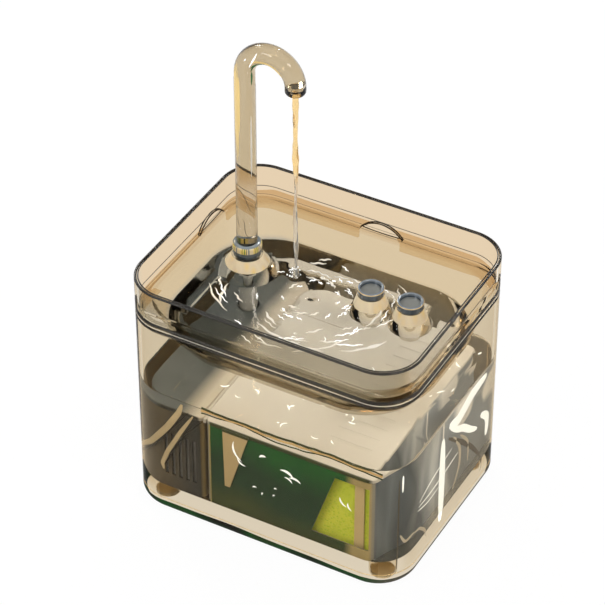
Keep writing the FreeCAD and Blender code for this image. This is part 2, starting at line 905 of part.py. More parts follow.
groove_radius = stem_radius - size.o_ring_groove_depth
grooves, o_rings = [], []
for number in range(2):
    low = faucet_foot + size.o_ring_first + number * size.o_ring_pitch
    middle = low + size.o_ring_groove_width / 2
    width = size.o_ring_groove_width
    rim = cylinder(f"groove_rim_{number}", stem_radius + size.cut_past, width, faucet_x, faucet_y, low)
    core = cylinder(f"groove_core_{number}", groove_radius, width, faucet_x, faucet_y, low)
    grooves.append(cut(f"groove_{number}", rim, core))
    section = (sleeve_bore - groove_radius) / 2 - size.o_ring_clearance
    ring_middle = (sleeve_bore + groove_radius) / 2
    o_rings.append(ring_form(f"o_ring_{number}", ring_middle, section, faucet_x, faucet_y, middle))
sub_part("stem_o_rings", group("o_ring_group", o_rings))
bore = bent_tube("faucet_bore", size.tube_bore / 2)
sub_part("faucet", cut("faucet_solid", bent_tube("faucet_outside", stem_radius), bore, *grooves))
nozzle_spigot = size.tube_bore / 2 - size.nozzle_spigot_clearance
outlet = size.outlet_diameter / 2
nozzle_top = size.nozzle_length + size.nozzle_spigot_length
nozzle_profile = [
    (outlet, 0),
    (stem_radius, 0),
    (stem_radius, size.nozzle_length),
    (nozzle_spigot, size.nozzle_length),
    (nozzle_spigot, nozzle_top),
    (outlet, nozzle_top),
]
nozzle = turned("faucet_nozzle_solid", nozzle_profile, nozzle_x, faucet_y, faucet_end)
round_level(
    nozzle,
    "nozzle_rounding",
    size.nozzle_round,
    0,
    lambda box: box.XLength > 2 * nozzle_spigot.number,
)
sub_part("faucet_nozzle", nozzle)

# Caps that plug the two overflow posts, each a rimmed ring with a sunk middle
plug_radius = size.post_bore - size.cap_clearance
cap_middle = size.cap_height - size.cap_recess
cap_profile = [
    (0, -size.cap_plug_length),
    (plug_radius, -size.cap_plug_length),
    (plug_radius, 0),
    (size.post_top_radius, 0),
    (size.post_top_radius, size.cap_height),
    (size.post_top_radius - size.cap_rim, size.cap_height),
    (size.post_top_radius - size.cap_rim, cap_middle),
    (0, cap_middle),
]
for side, x in zip(("left", "right"), post_places):
    cap = turned(f"overflow_cap_{side}_solid", cap_profile, x, faucet_y, post_top + size.seat_gap)
    round_level(cap, f"cap_edges_{side}", size.cap_edge_round, size.cap_height)
    sub_part(f"overflow_cap_{side}", cap)

# Filter module on the tank's floor: a pump chamber at the left and a filter housing beside it
module_inset = size.tank_wall + size.module_gap
module_depth = size.body_depth - 2 * module_inset
module_front = -module_depth / 2
module_low = floor_top
module_top = module_low + size.module_height
module_floor = module_low + size.module_wall
chamber_left = module_inset - half_width
chamber_right = faucet_x + size.chamber_reach
housing_left = chamber_right + size.chamber_gap
housing_right = half_width - size.tank_wall - size.housing_end_gap
housing_middle = (housing_left + housing_right) / 2
lid_low = module_top + size.seat_gap
lid_top = lid_low + size.lid_thickness
lip_outside = size.module_wall + size.lid_clearance
lip_inside = lip_outside + size.lid_lip_wall


def chamber_form(name, inset, low, high):
    """The pump chamber's outline: it follows the tank at the left and is nearly square at the right."""
    whole = inset_slab(name + "_whole", module_inset + inset, low, high)
    span_left = chamber_left - size.module_radius
    span_right = chamber_right - inset
    span = slab(
        name + "_span",
        span_right - span_left,
        module_depth - 2 * inset,
        size.inner_corner - inset,
        low,
        high,
        x=(span_left + span_right) / 2,
    )
    return overlap(name, whole, span)


def housing_form(name, inset, low, high):
    width = housing_right - housing_left - 2 * inset
    depth = module_depth - 2 * inset
    return slab(name, width, depth, size.inner_corner - inset, low, high, x=housing_middle)


def spread(count, pitch):
    """Offsets of a row of features about its middle."""
    return [pitch * ((2 * number - count.number + 1) / 2) for number in range(int(count.number))]


wall_slots = []
chamber_flat = (chamber_left + size.module_radius + chamber_right - size.inner_corner) / 2
slot_span = module_front - size.cut_past, module_front + size.module_wall + size.cut_past
slot_low = module_low + size.intake_slot_sill
for number, offset in enumerate(spread(size.intake_slot_count, size.intake_slot_pitch)):
    middle = chamber_flat + offset
    across = middle - size.intake_slot_width / 2, middle + size.intake_slot_width / 2
    upward = slot_low, slot_low + size.intake_slot_height
    wall_slots.append(block(f"intake_slot_{number}", across, slot_span, upward))
side_slots = []
side_reach = size.module_wall + size.cut_past
side_span = chamber_right - side_reach, housing_left + side_reach
side_low = module_low + size.side_slot_sill
for number, offset in enumerate(spread(size.side_slot_count, size.side_slot_pitch)):
    across = offset - size.side_slot_width / 2, offset + size.side_slot_width / 2
    upward = side_low, side_low + size.side_slot_height
    side_slots.append(block(f"side_slot_{number}", side_span, across, upward))
sub_part(
    "pump_chamber",
    cut(
        "pump_chamber_solid",
        chamber_form("chamber_outside", as_size(0), module_low, module_top),
        chamber_form("chamber_inside", size.module_wall, module_floor, module_top + size.cut_past),
        *wall_slots,
        *side_slots,
    ),
)


def eased(name, base, radius, level):
    """Rounds a solid's edges that lie flat at one height."""
    doc.recompute()
    chosen = []
    for number, edge in enumerate(base.Shape.Edges, start=1):
        box = edge.BoundBox
        if abs(box.ZMin - level.number) < 1e-4 and abs(box.ZMax - level.number) < 1e-4:
            chosen.append((number, radius.number, radius.number))
    made = doc.addObject("Part::Fillet", name)
    made.Base = base
    made.Edges = chosen
    return made


def lid_form(name, form):
    """A plate with rounded upper edges and a lip that drops inside the box below."""
    sharp_plate = form(name + "_block", as_size(0), lid_low, lid_top)
    plate = eased(name + "_plate", sharp_plate, size.lid_edge_round, lid_top)
    lip_low = module_top - size.lid_lip
    lip = cut(
        name + "_lip",
        form(name + "_lip_outside", lip_outside, lip_low, lid_low),
        form(name + "_lip_inside", lip_inside, lip_low, lid_low),
    )
    return plate, lip


hose_bore = spigot_radius + size.hose_clearance
hose_radius = hose_bore + size.hose_wall
hose_hole = cylinder(
    "hose_hole", hose_radius + size.hose_hole_clearance, size.lid_thickness, faucet_x, faucet_y, lid_low
)
cord_pass = block(
    "cord_pass",
    (faucet_x - size.cord_pass_width / 2, faucet_x + size.cord_pass_width / 2),
    (-module_front - size.module_wall - size.cord_pass_depth, -module_front + size.cut_past),
    (module_top - size.lid_lip, lid_top),
)
chamber_lid_form = join("chamber_lid_form", *lid_form("chamber_lid", chamber_form))
sub_part("chamber_lid", cut("chamber_lid_solid", chamber_lid_form, hose_hole, cord_pass))

# Housing with the window that shows the cartridge
window_left = housing_middle + size.window_left_foot
window_right = housing_right - size.window_end_margin
window_low = module_low + size.window_sill
window_high = module_top - size.window_top
window = prism(
    "window",
    [
        (window_left, window_low),
        (window_right, window_low),
        (window_right, window_high),
        (window_left + size.window_slant, window_high),
    ],
    size.module_wall + 2 * size.cut_past,
    y=module_front - size.cut_past,
)
sub_part(
    "filter_housing",
    cut(
        "filter_housing_solid",
        housing_form("housing_outside", as_size(0), module_low, module_top),
        housing_form("housing_inside", size.module_wall, module_floor, module_top + size.cut_past),
        window,
        *side_slots,
    ),
)

# Housing lid: inlets over the cartridge and a wedge-shaped tongue down the front
cartridge_right = housing_right - lip_inside - size.cartridge_gap
cartridge_left = cartridge_right - size.cartridge_width
cartridge_front = module_front + lip_inside + size.cartridge_gap
cartridge_middle = (cartridge_left + cartridge_right) / 2
inlets = []
for number, offset in enumerate(spread(size.inlet_count, size.inlet_pitch)):
    across = cartridge_middle - size.inlet_length / 2, cartridge_middle + size.inlet_length / 2
    along = offset - size.inlet_width / 2, offset + size.inlet_width / 2
    inlets.append(block(f"inlet_{number}", across, along, (lid_low, lid_top)))
latch_left = housing_left + size.latch_offset
latch_right = latch_left + size.latch_width
latch_front = module_front - size.latch_gap - size.latch_thickness
latch_low = lid_low - size.latch_length
latch_top = lid_top - size.lid_edge_round
latch = prism(
    "latch_tongue",
    [
        (latch_left, latch_top),
        (latch_right, latch_top),
        (latch_left + size.latch_tip_inset + size.latch_tip_width, latch_low),
        (latch_left + size.latch_tip_inset, latch_low),
    ],
    size.latch_thickness,
    y=latch_front,
)
latch_bridge = block(
    "latch_bridge",
    (latch_left, latch_right),
    (latch_front, module_front + size.lid_edge_round),
    (lid_low, latch_top),
)
filter_lid_form = join("filter_lid_form", *lid_form("filter_lid", housing_form), latch, latch_bridge)
sub_part("filter_lid", cut("filter_lid_solid", filter_lid_form, *inlets))

# Cartridge that hangs from the lid: a frame with a strap round it, and the foam block inside
frame_low = lid_low - size.frame_bar
strap_low = module_floor + size.cartridge_floor_gap
strap_left = cartridge_right - size.strip_offset - size.frame_strip / 2
strap_across = strap_left, strap_left + size.frame_strip
cartridge_span = cartridge_left, cartridge_right
frame_top_ring = cut(
    "frame_ring",
    block("frame_ring_outside", cartridge_span, (cartridge_front, -cartridge_front), (frame_low, lid_low)),
    block(
        "frame_ring_inside",
        (cartridge_left + size.frame_bar, cartridge_right - size.frame_bar),
        (cartridge_front + size.frame_bar, -cartridge_front - size.frame_bar),
        (frame_low, lid_low),
    ),
)
strap = cut(
    "frame_strap",
    block("strap_outside", strap_across, (cartridge_front, -cartridge_front), (strap_low, frame_low)),
    block(
        "strap_inside",
        strap_across,
        (cartridge_front + size.strap_thickness, -cartridge_front - size.strap_thickness),
        (strap_low + size.strap_thickness, frame_low),
    ),
)
sub_part("cartridge_frame", join("cartridge_frame_solid", frame_top_ring, strap))
sub_part(
    "cartridge_foam",
    block(
        "cartridge_foam_solid",
        cartridge_span,
        (cartridge_front + size.strap_thickness, -cartridge_front - size.strap_thickness),
        (strap_low + size.strap_thickness, frame_low),
    ),
)
carbon_left = housing_left + size.module_wall + size.carbon_gap
carbon_front = module_front + size.module_wall + size.carbon_gap
sub_part(
    "carbon_block",
    block(
        "carbon_block_solid",
        (carbon_left, carbon_left + size.carbon_width),
        (carbon_front, -carbon_front),
        (module_floor, module_top - size.carbon_drop),
    ),
)
prefilter_front = module_front + size.module_wall
sub_part(
    "prefilter_foam",
    overlap(
        "prefilter_foam_solid",
        chamber_form("prefilter_outline", size.module_wall, module_floor, module_top - size.prefilter_drop),
        block(
            "prefilter_span",
            (chamber_left, chamber_right),
            (prefilter_front, prefilter_front + size.prefilter_depth),
            (module_floor, module_top),
        ),
    ),
)

# Pump: its shaft lies along Y, the volute under the faucet's hose and the motor behind it
volute_front = faucet_y - size.volute_length / 2
motor_front = faucet_y + size.volute_length / 2
motor_back = motor_front + size.motor_length
pump_low = module_floor + size.cup_height
pump_middle = pump_low + size.pump_height / 2
pump_top = pump_low + size.pump_height
shaft_level = pump_middle + size.shaft_rise
well_end = motor_front + size.well_depth
well_outside = size.well_radius + size.well_wall


def lying_slab(name, inset, front, back):
    """The motor block's outline, carried back along Y."""
    width = size.pump_width - 2 * inset
    height = size.pump_height - 2 * inset
    made = slab(name, width, height, size.pump_corner - inset, 0, back - front)
    return place(made, faucet_x, front, pump_middle, along_y)


def lying_cylinder(name, radius, front, back, x=faucet_x, z=shaft_level):
    return cylinder(name, radius, back - front, x, front, z, along_y)


gland_y = motor_front + size.motor_length / 2
motor_shell = cut(
    "motor_shell",
    lying_slab("motor_outside", as_size(0), motor_front, motor_back),
    lying_slab("motor_inside", size.motor_wall, motor_front + size.motor_wall, motor_back + size.cut_past),
)
well_tube = lying_cylinder("well_tube", well_outside, motor_front, well_end + size.well_wall)
sub_part(
    "pump_body",
    cut(
        "pump_body_solid",
        join("motor_with_well", motor_shell, well_tube),
        lying_cylinder("well_bore", size.well_radius, motor_front - size.cut_past, well_end),
        cylinder(
            "gland_hole",
            size.gland_neck_radius,
            size.motor_wall + 2 * size.cut_past,
            faucet_x,
            gland_y,
            pump_top - size.motor_wall - size.cut_past,
        ),
    ),
)
end_cap_back = motor_back + size.end_cap_thickness
sub_part("pump_end_cap", lying_slab("pump_end_cap_solid", as_size(0), motor_back, end_cap_back))
gland_profile = [
    (size.gland_bore, -size.motor_wall),
    (size.gland_neck_radius, -size.motor_wall),
    (size.gland_neck_radius, 0),
    (size.gland_flange_radius, 0),
    (size.gland_flange_radius, size.gland_flange_thickness),
    (size.gland_radius, size.gland_flange_thickness),
    (size.gland_neck_radius, size.gland_length),
    (size.gland_bore, size.gland_length),
]
sub_part("cord_gland", turned("cord_gland_solid", gland_profile, faucet_x, gland_y, pump_top))

# Volute: a drum with the intake in its face, the spigot on top and a foot below
cover_bore = size.volute_radius - size.intake_cover_wall
fit_ring_radius = cover_bore - size.cover_fit_clearance
shoulder_top = shaft_level + size.volute_radius + size.spigot_shoulder
foot_top = shaft_level - size.volute_cavity_radius - size.volute_floor_gap
volute_drum = lying_cylinder("volute_drum", size.volute_radius, volute_front, motor_front)
volute_foot = block(
    "volute_foot",
    (faucet_x - size.volute_foot_width / 2, faucet_x + size.volute_foot_width / 2),
    (volute_front, motor_front),
    (pump_low, foot_top),
)
shoulder_length = shoulder_top - shaft_level
spigot_shoulder = cylinder("spigot_shoulder", hose_radius, shoulder_length, faucet_x, faucet_y, shaft_level)
spigot_length = size.pump_spigot_length
pump_spigot = cylinder("pump_spigot", spigot_radius, spigot_length, faucet_x, faucet_y, shoulder_top)
face_back = volute_front + size.volute_wall
volute_shell = cut(
    "volute_shell",
    join("volute_form", volute_drum, volute_foot, spigot_shoulder, pump_spigot),
    lying_cylinder("volute_cavity", size.volute_cavity_radius, face_back, motor_front + size.cut_past),
    lying_cylinder(
        "volute_intake",
        size.pump_intake_radius,
        volute_front - size.cut_past,
        face_back + size.cut_past,
    ),
    cylinder(
        "spigot_bore",
        size.tail_bore / 2,
        shoulder_top + size.pump_spigot_length - shaft_level,
        faucet_x,
        faucet_y,
        shaft_level,
    ),
)
arm_reach = size.pump_intake_radius + size.cut_past
holder_arms = [
    block(
        "bush_arm_level",
        (faucet_x - arm_reach, faucet_x + arm_reach),
        (volute_front, face_back),
        (shaft_level - size.bush_holder_arm / 2, shaft_level + size.bush_holder_arm / 2),
    ),
    block(
        "bush_arm_upright",
        (faucet_x - size.bush_holder_arm / 2, faucet_x + size.bush_holder_arm / 2),
        (volute_front, face_back),
        (shaft_level - arm_reach, shaft_level + arm_reach),
    ),
]
fit_front = volute_front - size.cover_fit_length
fit_ring = cut(
    "cover_fit_ring",
    lying_cylinder("fit_ring_outside", fit_ring_radius, fit_front, volute_front),
    lying_cylinder("fit_ring_inside", fit_ring_radius - size.intake_cover_wall, fit_front, volute_front),
)
bush_end = volute_front + size.bush_length
bush_holder = lying_cylinder("bush_holder", size.bush_holder_radius, volute_front, bush_end)
sub_part(
    "pump_volute",
    cut(
        "pump_volute_solid",
        join("volute_with_holder", volute_shell, *holder_arms, bush_holder, fit_ring),
        lying_cylinder(
            "front_bush_seat",
            size.bush_radius,
            volute_front - size.cut_past,
            bush_end + size.cut_past,
        ),
    ),
)
hose_top = nut_low - size.seat_gap
hose_length = hose_top - shoulder_top
sub_part(
    "hose",
    cut(
        "hose_solid",
        cylinder("hose_outside", hose_radius, hose_length, faucet_x, faucet_y, shoulder_top),
        cylinder("hose_inside", hose_bore, hose_length, faucet_x, faucet_y, shoulder_top),
    ),
)

# Motor iron round the rotor's well, with one coil on its lower bar
core_front = motor_front + size.motor_wall + size.coil_floor_gap + size.coil_build
core_back = core_front + size.core_thickness
bar_low = pump_low + size.motor_wall + size.coil_floor_gap + size.coil_build
bar_high = shaft_level - well_outside - size.coil_well_gap - size.coil_build
core_reach = size.pump_width / 2 - size.motor_wall
limb_high = shaft_level + size.core_limb_rise
core_across = faucet_x - core_reach, faucet_x + core_reach
core_parts = [block("core_bar", core_across, (core_front, core_back), (bar_low, bar_high))]
for side, low, high in (
    ("left", faucet_x - core_reach, faucet_x - size.core_limb_inset),
    ("right", faucet_x + size.core_limb_inset, faucet_x + core_reach),
):
    core_parts.append(
        block(f"core_limb_{side}", (low, high), (core_front, core_back), (bar_low, limb_high))
    )
rotor_gap = lying_cylinder("core_bore", well_outside + size.core_gap, core_front, core_back)
sub_part("stator_core", cut("stator_core_solid", join("core_form", *core_parts), rotor_gap))
coil_reach = size.core_limb_inset - size.coil_gap
coil_across = faucet_x - coil_reach, faucet_x + coil_reach
coil_block = block(
    "coil_block",
    coil_across,
    (core_front - size.coil_build, core_back + size.coil_build),
    (bar_low - size.coil_build, bar_high + size.coil_build),
)
coil_hole = block("coil_hole", coil_across, (core_front, core_back), (bar_low, bar_high))
sub_part("stator_coil", cut("stator_coil_solid", coil_block, coil_hole))

# Shaft fixed in two bushes, and the magnet and impeller that turn on it
back_bush_front = well_end - size.bush_length
bushes = []
for name, front, back in (("front", volute_front, bush_end), ("back", back_bush_front, well_end)):
    bushes.append(
        cut(
            f"{name}_bush",
            lying_cylinder(f"{name}_bush_outside", size.bush_radius, front, back),
            lying_cylinder(f"{name}_bush_bore", size.shaft_radius, front, back),
        )
    )
sub_part("shaft_bushes", group("bush_group", bushes))
sub_part("rotor_shaft", lying_cylinder("rotor_shaft_solid", size.shaft_radius, volute_front, well_end))
rotor_bore = size.shaft_radius + size.rotor_clearance
magnet_front = motor_front + size.rotor_end_gap
magnet_back = back_bush_front - size.rotor_end_gap
sub_part(
    "rotor_magnet",
    cut(
        "rotor_magnet_solid",
        lying_cylinder("magnet_drum", size.magnet_radius, magnet_front, magnet_back),
        lying_cylinder("magnet_bore", rotor_bore, magnet_front, magnet_back),
    ),
)
hub_front = bush_end + size.hub_end_gap
blade_front = face_back + size.blade_gap
plate_front = blade_front + size.blade_height
impeller_parts = [
    lying_cylinder("impeller_hub", size.hub_radius, hub_front, magnet_front),
    lying_cylinder("impeller_plate", size.blade_tip_radius, plate_front, plate_front + size.impeller_plate),
]
for number in range(int(size.blade_count.number / 2)):
    angle = 360 * number / size.blade_count.number
    blade = doc.addObject("Part::Box", f"blade_pair_{number}")
    bind(blade, Length=2 * size.blade_tip_radius, Width=size.blade_height, Height=size.blade_thickness)
    across = round(math.cos(math.radians(angle)), 9)
    upward = round(math.sin(math.radians(angle)), 9)
    x = faucet_x - size.blade_tip_radius * across - size.blade_thickness / 2 * upward
    z = shaft_level + size.blade_tip_radius * upward - size.blade_thickness / 2 * across
    impeller_parts.append(place(blade, x, blade_front, z, FreeCAD.Rotation(FreeCAD.Vector(0, 1, 0), angle)))
sub_part(
    "impeller",
    cut(
        "impeller_solid",
        join("impeller_form", *impeller_parts),
        lying_cylinder("impeller_bore", rotor_bore, hub_front, magnet_front),
    ),
)

# Intake cover that slides off the volute, with a turning dial that closes its four holes
cover_back = volute_front - size.intake_cover_gap
cover_front = cover_back - size.intake_cover_length
cover_face_back = cover_front + size.intake_cover_wall
dial_back = cover_front - size.dial_gap
dial_front = dial_back - size.dial_thickness
head_back = dial_front - size.dial_gap
head_front = head_back - size.dial_head_thickness
dial_holes = []
for number in range(int(size.dial_hole_count.number)):
    angle = 360 * number / size.dial_hole_count.number
    x = faucet_x + size.dial_hole_circle * round(math.cos(math.radians(angle)), 9)
    z = shaft_level + size.dial_hole_circle * round(math.sin(math.radians(angle)), 9)
    dial_holes.append(
        lying_cylinder(f"dial_hole_{number}", size.dial_hole_radius, dial_front, cover_face_back, x, z)
    )
cover_slots = []
slot_front = cover_face_back + size.cover_slot_start
slot_reach = size.volute_radius + size.cut_past
half_slot = size.cover_slot_width / 2
for name, x_reach, z_reach in (("level", slot_reach, half_slot), ("upright", half_slot, slot_reach)):
    cover_slots.append(
        block(
            f"cover_slot_{name}",
            (faucet_x - x_reach, faucet_x + x_reach),
            (slot_front, slot_front + size.cover_slot_length),
            (shaft_level - z_reach, shaft_level + z_reach),
        )
    )
cover_shell = cut(
    "cover_shell",
    lying_cylinder("cover_drum", size.volute_radius, cover_front, cover_back),
    lying_cylinder("cover_inside", cover_bore, cover_face_back, cover_back),
    *dial_holes,
    *cover_slots,
)
dial_pin = lying_cylinder("dial_pin", size.dial_pin_radius, head_back, cover_face_back)
dial_head = lying_cylinder("dial_head", size.dial_head_radius, head_front, head_back)
sub_part("intake_cover", join("intake_cover_solid", cover_shell, dial_pin, dial_head))
dial_disc = lying_cylinder("dial_disc", size.dial_radius, dial_front, dial_back)
dial_tab = block(
    "dial_tab",
    (faucet_x - size.dial_tab_width / 2, faucet_x + size.dial_tab_width / 2),
    (dial_front, dial_back),
    (shaft_level + size.dial_radius - size.cut_past, shaft_level + size.dial_tab_reach),
)
dial_bore = lying_cylinder("dial_bore", size.dial_pin_radius + size.dial_clearance, dial_front, dial_back)
dial_form = join("dial_form", dial_disc, dial_tab)
sub_part("flow_regulator", cut("flow_regulator_solid", dial_form, dial_bore, *dial_holes))

# Suction cups under the volute and the motor
cups = []
for end, y in (("front", faucet_y), ("back", motor_front + size.cup_motor_offset)):
    for side, sign in (("left", -1), ("right", 1)):
        x = faucet_x + sign * size.cup_spacing / 2
        cups.append(
            cone(
                f"cup_{end}_{side}",
                size.cup_radius,
                size.cup_top_radius,
                size.cup_height,
                x,
                y,
                module_floor,
            )
        )
sub_part("suction_cups", group("cup_group", cups))

doc.recompute()
for thing in doc.Objects:
    if "Invalid" in thing.State or "Error" in thing.State:
        raise RuntimeError(f"{thing.Name} did not build")
for piece in sub_parts:
    if piece.Shape.isNull() or not piece.Shape.isValid():
        raise RuntimeError(f"{piece.Label} is not a sound solid")
    piece.Shape.exportStep(f"parts/{piece.Label}.step")
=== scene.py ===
import math
import random

import bmesh
import bpy
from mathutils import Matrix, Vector, noise


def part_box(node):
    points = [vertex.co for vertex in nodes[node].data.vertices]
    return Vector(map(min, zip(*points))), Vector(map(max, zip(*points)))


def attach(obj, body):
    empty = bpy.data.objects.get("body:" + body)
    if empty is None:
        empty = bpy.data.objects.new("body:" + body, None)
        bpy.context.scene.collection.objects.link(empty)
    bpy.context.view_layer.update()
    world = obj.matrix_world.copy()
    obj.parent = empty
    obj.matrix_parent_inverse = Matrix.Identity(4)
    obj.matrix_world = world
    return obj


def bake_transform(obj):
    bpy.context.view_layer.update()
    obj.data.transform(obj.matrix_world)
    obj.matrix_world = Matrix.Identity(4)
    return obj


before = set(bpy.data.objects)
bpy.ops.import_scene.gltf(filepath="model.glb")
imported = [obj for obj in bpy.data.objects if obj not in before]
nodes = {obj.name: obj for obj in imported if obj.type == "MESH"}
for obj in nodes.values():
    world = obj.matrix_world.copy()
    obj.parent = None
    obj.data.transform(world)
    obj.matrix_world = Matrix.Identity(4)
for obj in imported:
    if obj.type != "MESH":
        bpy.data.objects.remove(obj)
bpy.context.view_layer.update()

scene = bpy.context.scene

# view and light

view = {
    "place": (0.6403, -1.1777, 1.2163),
    "aim": (-0.0305, 0.0353, 0.1037),
    "lens": 169.3,
}


def addCamera():
    data = bpy.data.cameras.new("photoCamera")
    data.sensor_width = 36
    data.lens = view["lens"]
    data.clip_start, data.clip_end = 0.05, 20
    camera = bpy.data.objects.new("photoCamera", data)
    camera.location = view["place"]
    aim = Vector(view["aim"]) - camera.location
    camera.rotation_euler = aim.to_track_quat("-Z", "Y").to_euler()
    scene.collection.objects.link(camera)
    scene.camera = camera


studio = {
    "fill": 0.62,  # what the backdrop gives to plain surfaces
    "wallShade": 0.17,  # the dim studio walls that glass and water mirror
    "wallLow": 0.10,  # sine of the elevation where the dim band starts
    "wallHigh": 0.74,
    "floorGlow": 0.96,  # share of the floor that is plain white to the camera
    "floorSide": 6.0,
    "floorLevel": -0.0002,
    "paper": (0.93, 0.93, 0.93, 1),
    "softboxes": [
        # place, aim, size, power, colour
        ((-1.20, 0.85, 1.10), (0, 0, 0.10), (0.30, 0.50), 9.0, (1.0, 0.99, 0.97)),
        ((-0.20, 1.20, 1.30), (0, 0, 0.12), (0.12, 0.12), 5.0, (1.0, 1.0, 1.0)),
        ((0.95, -0.35, 1.25), (0, 0, 0.10), (0.60, 0.35), 8.0, (1.0, 0.98, 0.95)),
        ((-0.55, -1.05, 0.95), (0, 0, 0.10), (0.50, 0.40), 5.0, (0.96, 0.98, 1.0)),
    ],
}


def addNode(tree, kind, place=(0, 0), **settings):
    node = tree.nodes.new(kind)
    node.location = place
    for key, value in settings.items():
        if key in node.inputs.keys():
            node.inputs[key].default_value = value
        else:
            setattr(node, key, value)
    return node


def joinSockets(tree, source, target):
    tree.links.new(source, target)


# A math node fed with sockets or plain numbers
def mathNode(tree, operation, *values, place=(0, 0)):
    node = addNode(tree, "ShaderNodeMath", place, operation=operation)
    for socket, value in zip(node.inputs, values):
        if isinstance(value, (int, float)):
            socket.default_value = value
        else:
            joinSockets(tree, value, socket)
    return node.outputs[0]


# Carries a value from one range to another and stops at both ends
def rangeNode(tree, value, fromLow, fromHigh, toLow=0.0, toHigh=1.0, place=(0, 0)):
    node = addNode(tree, "ShaderNodeMapRange", place)
    node.inputs["From Min"].default_value = fromLow
    node.inputs["From Max"].default_value = fromHigh
    node.inputs["To Min"].default_value = toLow
    node.inputs["To Max"].default_value = toHigh
    joinSockets(tree, value, node.inputs["Value"])
    return node.outputs["Result"]


def mixShaders(tree, share, first, second, place=(0, 0)):
    mix = addNode(tree, "ShaderNodeMixShader", place)
    for socket, source in zip(mix.inputs, (share, first, second)):
        joinSockets(tree, source, socket)
    return mix.outputs[0]


# A colour ramp from pairs of place and colour
def rampNode(tree, steps, place=(-200, 0), soft="LINEAR"):
    ramp = addNode(tree, "ShaderNodeValToRGB", place)
    ramp.color_ramp.interpolation = soft
    while len(ramp.color_ramp.elements) < len(steps):
        ramp.color_ramp.elements.new(1.0)
    for element, (spot, colour) in zip(ramp.color_ramp.elements, steps):
        element.position = spot
        element.color = (*colour, 1)
    return ramp


def newMaterial(name):
    material = bpy.data.materials.new(name)
    material.use_nodes = True
    tree = material.node_tree
    tree.nodes.clear()
    out = addNode(tree, "ShaderNodeOutputMaterial", (900, 0))
    return material, tree, out


# A value of 1 for rays that a mirror or clear plastic sends, and the camera where asked
def seenOrMirrored(tree, withCamera):
    path = addNode(tree, "ShaderNodeLightPath", (-600, 400))
    seen = mathNode(
        tree, "MAXIMUM", path.outputs["Is Glossy Ray"], path.outputs["Is Transmission Ray"], place=(-400, 400)
    )
    if withCamera:
        seen = mathNode(tree, "MAXIMUM", path.outputs["Is Camera Ray"], seen, place=(-200, 400))
    return path, seen


# White to the camera, plain fill to the object, and dim walls between white ones in its mirrors
def addWorld():
    world = bpy.data.worlds.new("paleStudio")
    scene.world = world
    world.use_nodes = True
    tree = world.node_tree
    tree.nodes.clear()
    out = addNode(tree, "ShaderNodeOutputWorld", (900, 0))
    coords = addNode(tree, "ShaderNodeTexCoord", (-800, 0))
    split = addNode(tree, "ShaderNodeSeparateXYZ", (-600, 0))
    joinSockets(tree, coords.outputs["Generated"], split.inputs[0])
    low, high = [0.5 + studio[wall] / 2 for wall in ("wallLow", "wallHigh")]
    shade = studio["wallShade"]
    steps = [(0.0, 1.0), (low, 1.0), (low + 0.02, shade), (high, shade), (high + 0.05, 1.0)]
    ramp = rampNode(tree, [(place, (level, level, level)) for place, level in steps])
    joinSockets(tree, rangeNode(tree, split.outputs["Z"], -1, 1, place=(-400, 0)), ramp.inputs["Fac"])
    mirrored = addNode(tree, "ShaderNodeBackground", (200, 0), Strength=1.0)
    joinSockets(tree, ramp.outputs["Color"], mirrored.inputs["Color"])
    plain = addNode(tree, "ShaderNodeBackground", (200, -200), Color=(1, 1, 1, 1), Strength=studio["fill"])
    white = addNode(tree, "ShaderNodeBackground", (200, 200), Color=(1, 1, 1, 1), Strength=1.0)
    path, seen = seenOrMirrored(tree, False)
    glassy = mixShaders(tree, seen, plain.outputs[0], mirrored.outputs[0], (450, -50))
    final = mixShaders(tree, path.outputs["Is Camera Ray"], glassy, white.outputs[0], (700, 0))
    joinSockets(tree, final, out.inputs["Surface"])


def addFloor():
    mesh = bpy.data.meshes.new("paleFloor")
    side, level = studio["floorSide"], studio["floorLevel"]
    corners = [(-side, -side, level), (side, -side, level), (side, side, level), (-side, side, level)]
    mesh.from_pydata(corners, [], [(0, 1, 2, 3)])
    floor = bpy.data.objects.new("paleFloor", mesh)
    scene.collection.objects.link(floor)
    material, tree, out = newMaterial("palePaper")
    paper = addNode(tree, "ShaderNodeBsdfDiffuse", (0, -100), Color=studio["paper"])
    glow = addNode(tree, "ShaderNodeEmission", (0, 100), Color=(1, 1, 1, 1), Strength=1.0)
    share = mathNode(tree, "MULTIPLY", seenOrMirrored(tree, True)[1], studio["floorGlow"], place=(150, 350))
    shown = mixShaders(tree, share, paper.outputs[0], glow.outputs[0], (400, 0))
    joinSockets(tree, shown, out.inputs["Surface"])
    mesh.materials.append(material)


def addSoftboxes():
    for number, (place, aim, size, power, colour) in enumerate(studio["softboxes"]):
        data = bpy.data.lights.new(f"softbox{number}", "AREA")
        data.shape = "RECTANGLE"
        data.size, data.size_y = size
        data.energy = power
        data.color = colour
        lamp = bpy.data.objects.new(f"softbox{number}", data)
        lamp.location = place
        lamp.rotation_euler = (Vector(aim) - Vector(place)).to_track_quat("-Z", "Y").to_euler()
        scene.collection.objects.link(lamp)


addCamera()
addWorld()
addFloor()
addSoftboxes()
scene.view_settings.view_transform = "Standard"
scene.cycles.max_bounces = 24
scene.cycles.transmission_bounces = 24
scene.cycles.transparent_max_bounces = 16
print("camera and studio set")

# finishes


# A noise laid over the object's own coordinates
def placedNoise(tree, scale, detail=2.0, stretch=(1, 1, 1)):
    coords = addNode(tree, "ShaderNodeTexCoord", (-900, 0))
    mapping = addNode(tree, "ShaderNodeMapping", (-720, 0), Scale=stretch)
    joinSockets(tree, coords.outputs["Object"], mapping.inputs["Vector"])
    grain = addNode(tree, "ShaderNodeTexNoise", (-540, 0), Scale=scale, Detail=detail)
    joinSockets(tree, mapping.outputs[0], grain.inputs["Vector"])
    return grain


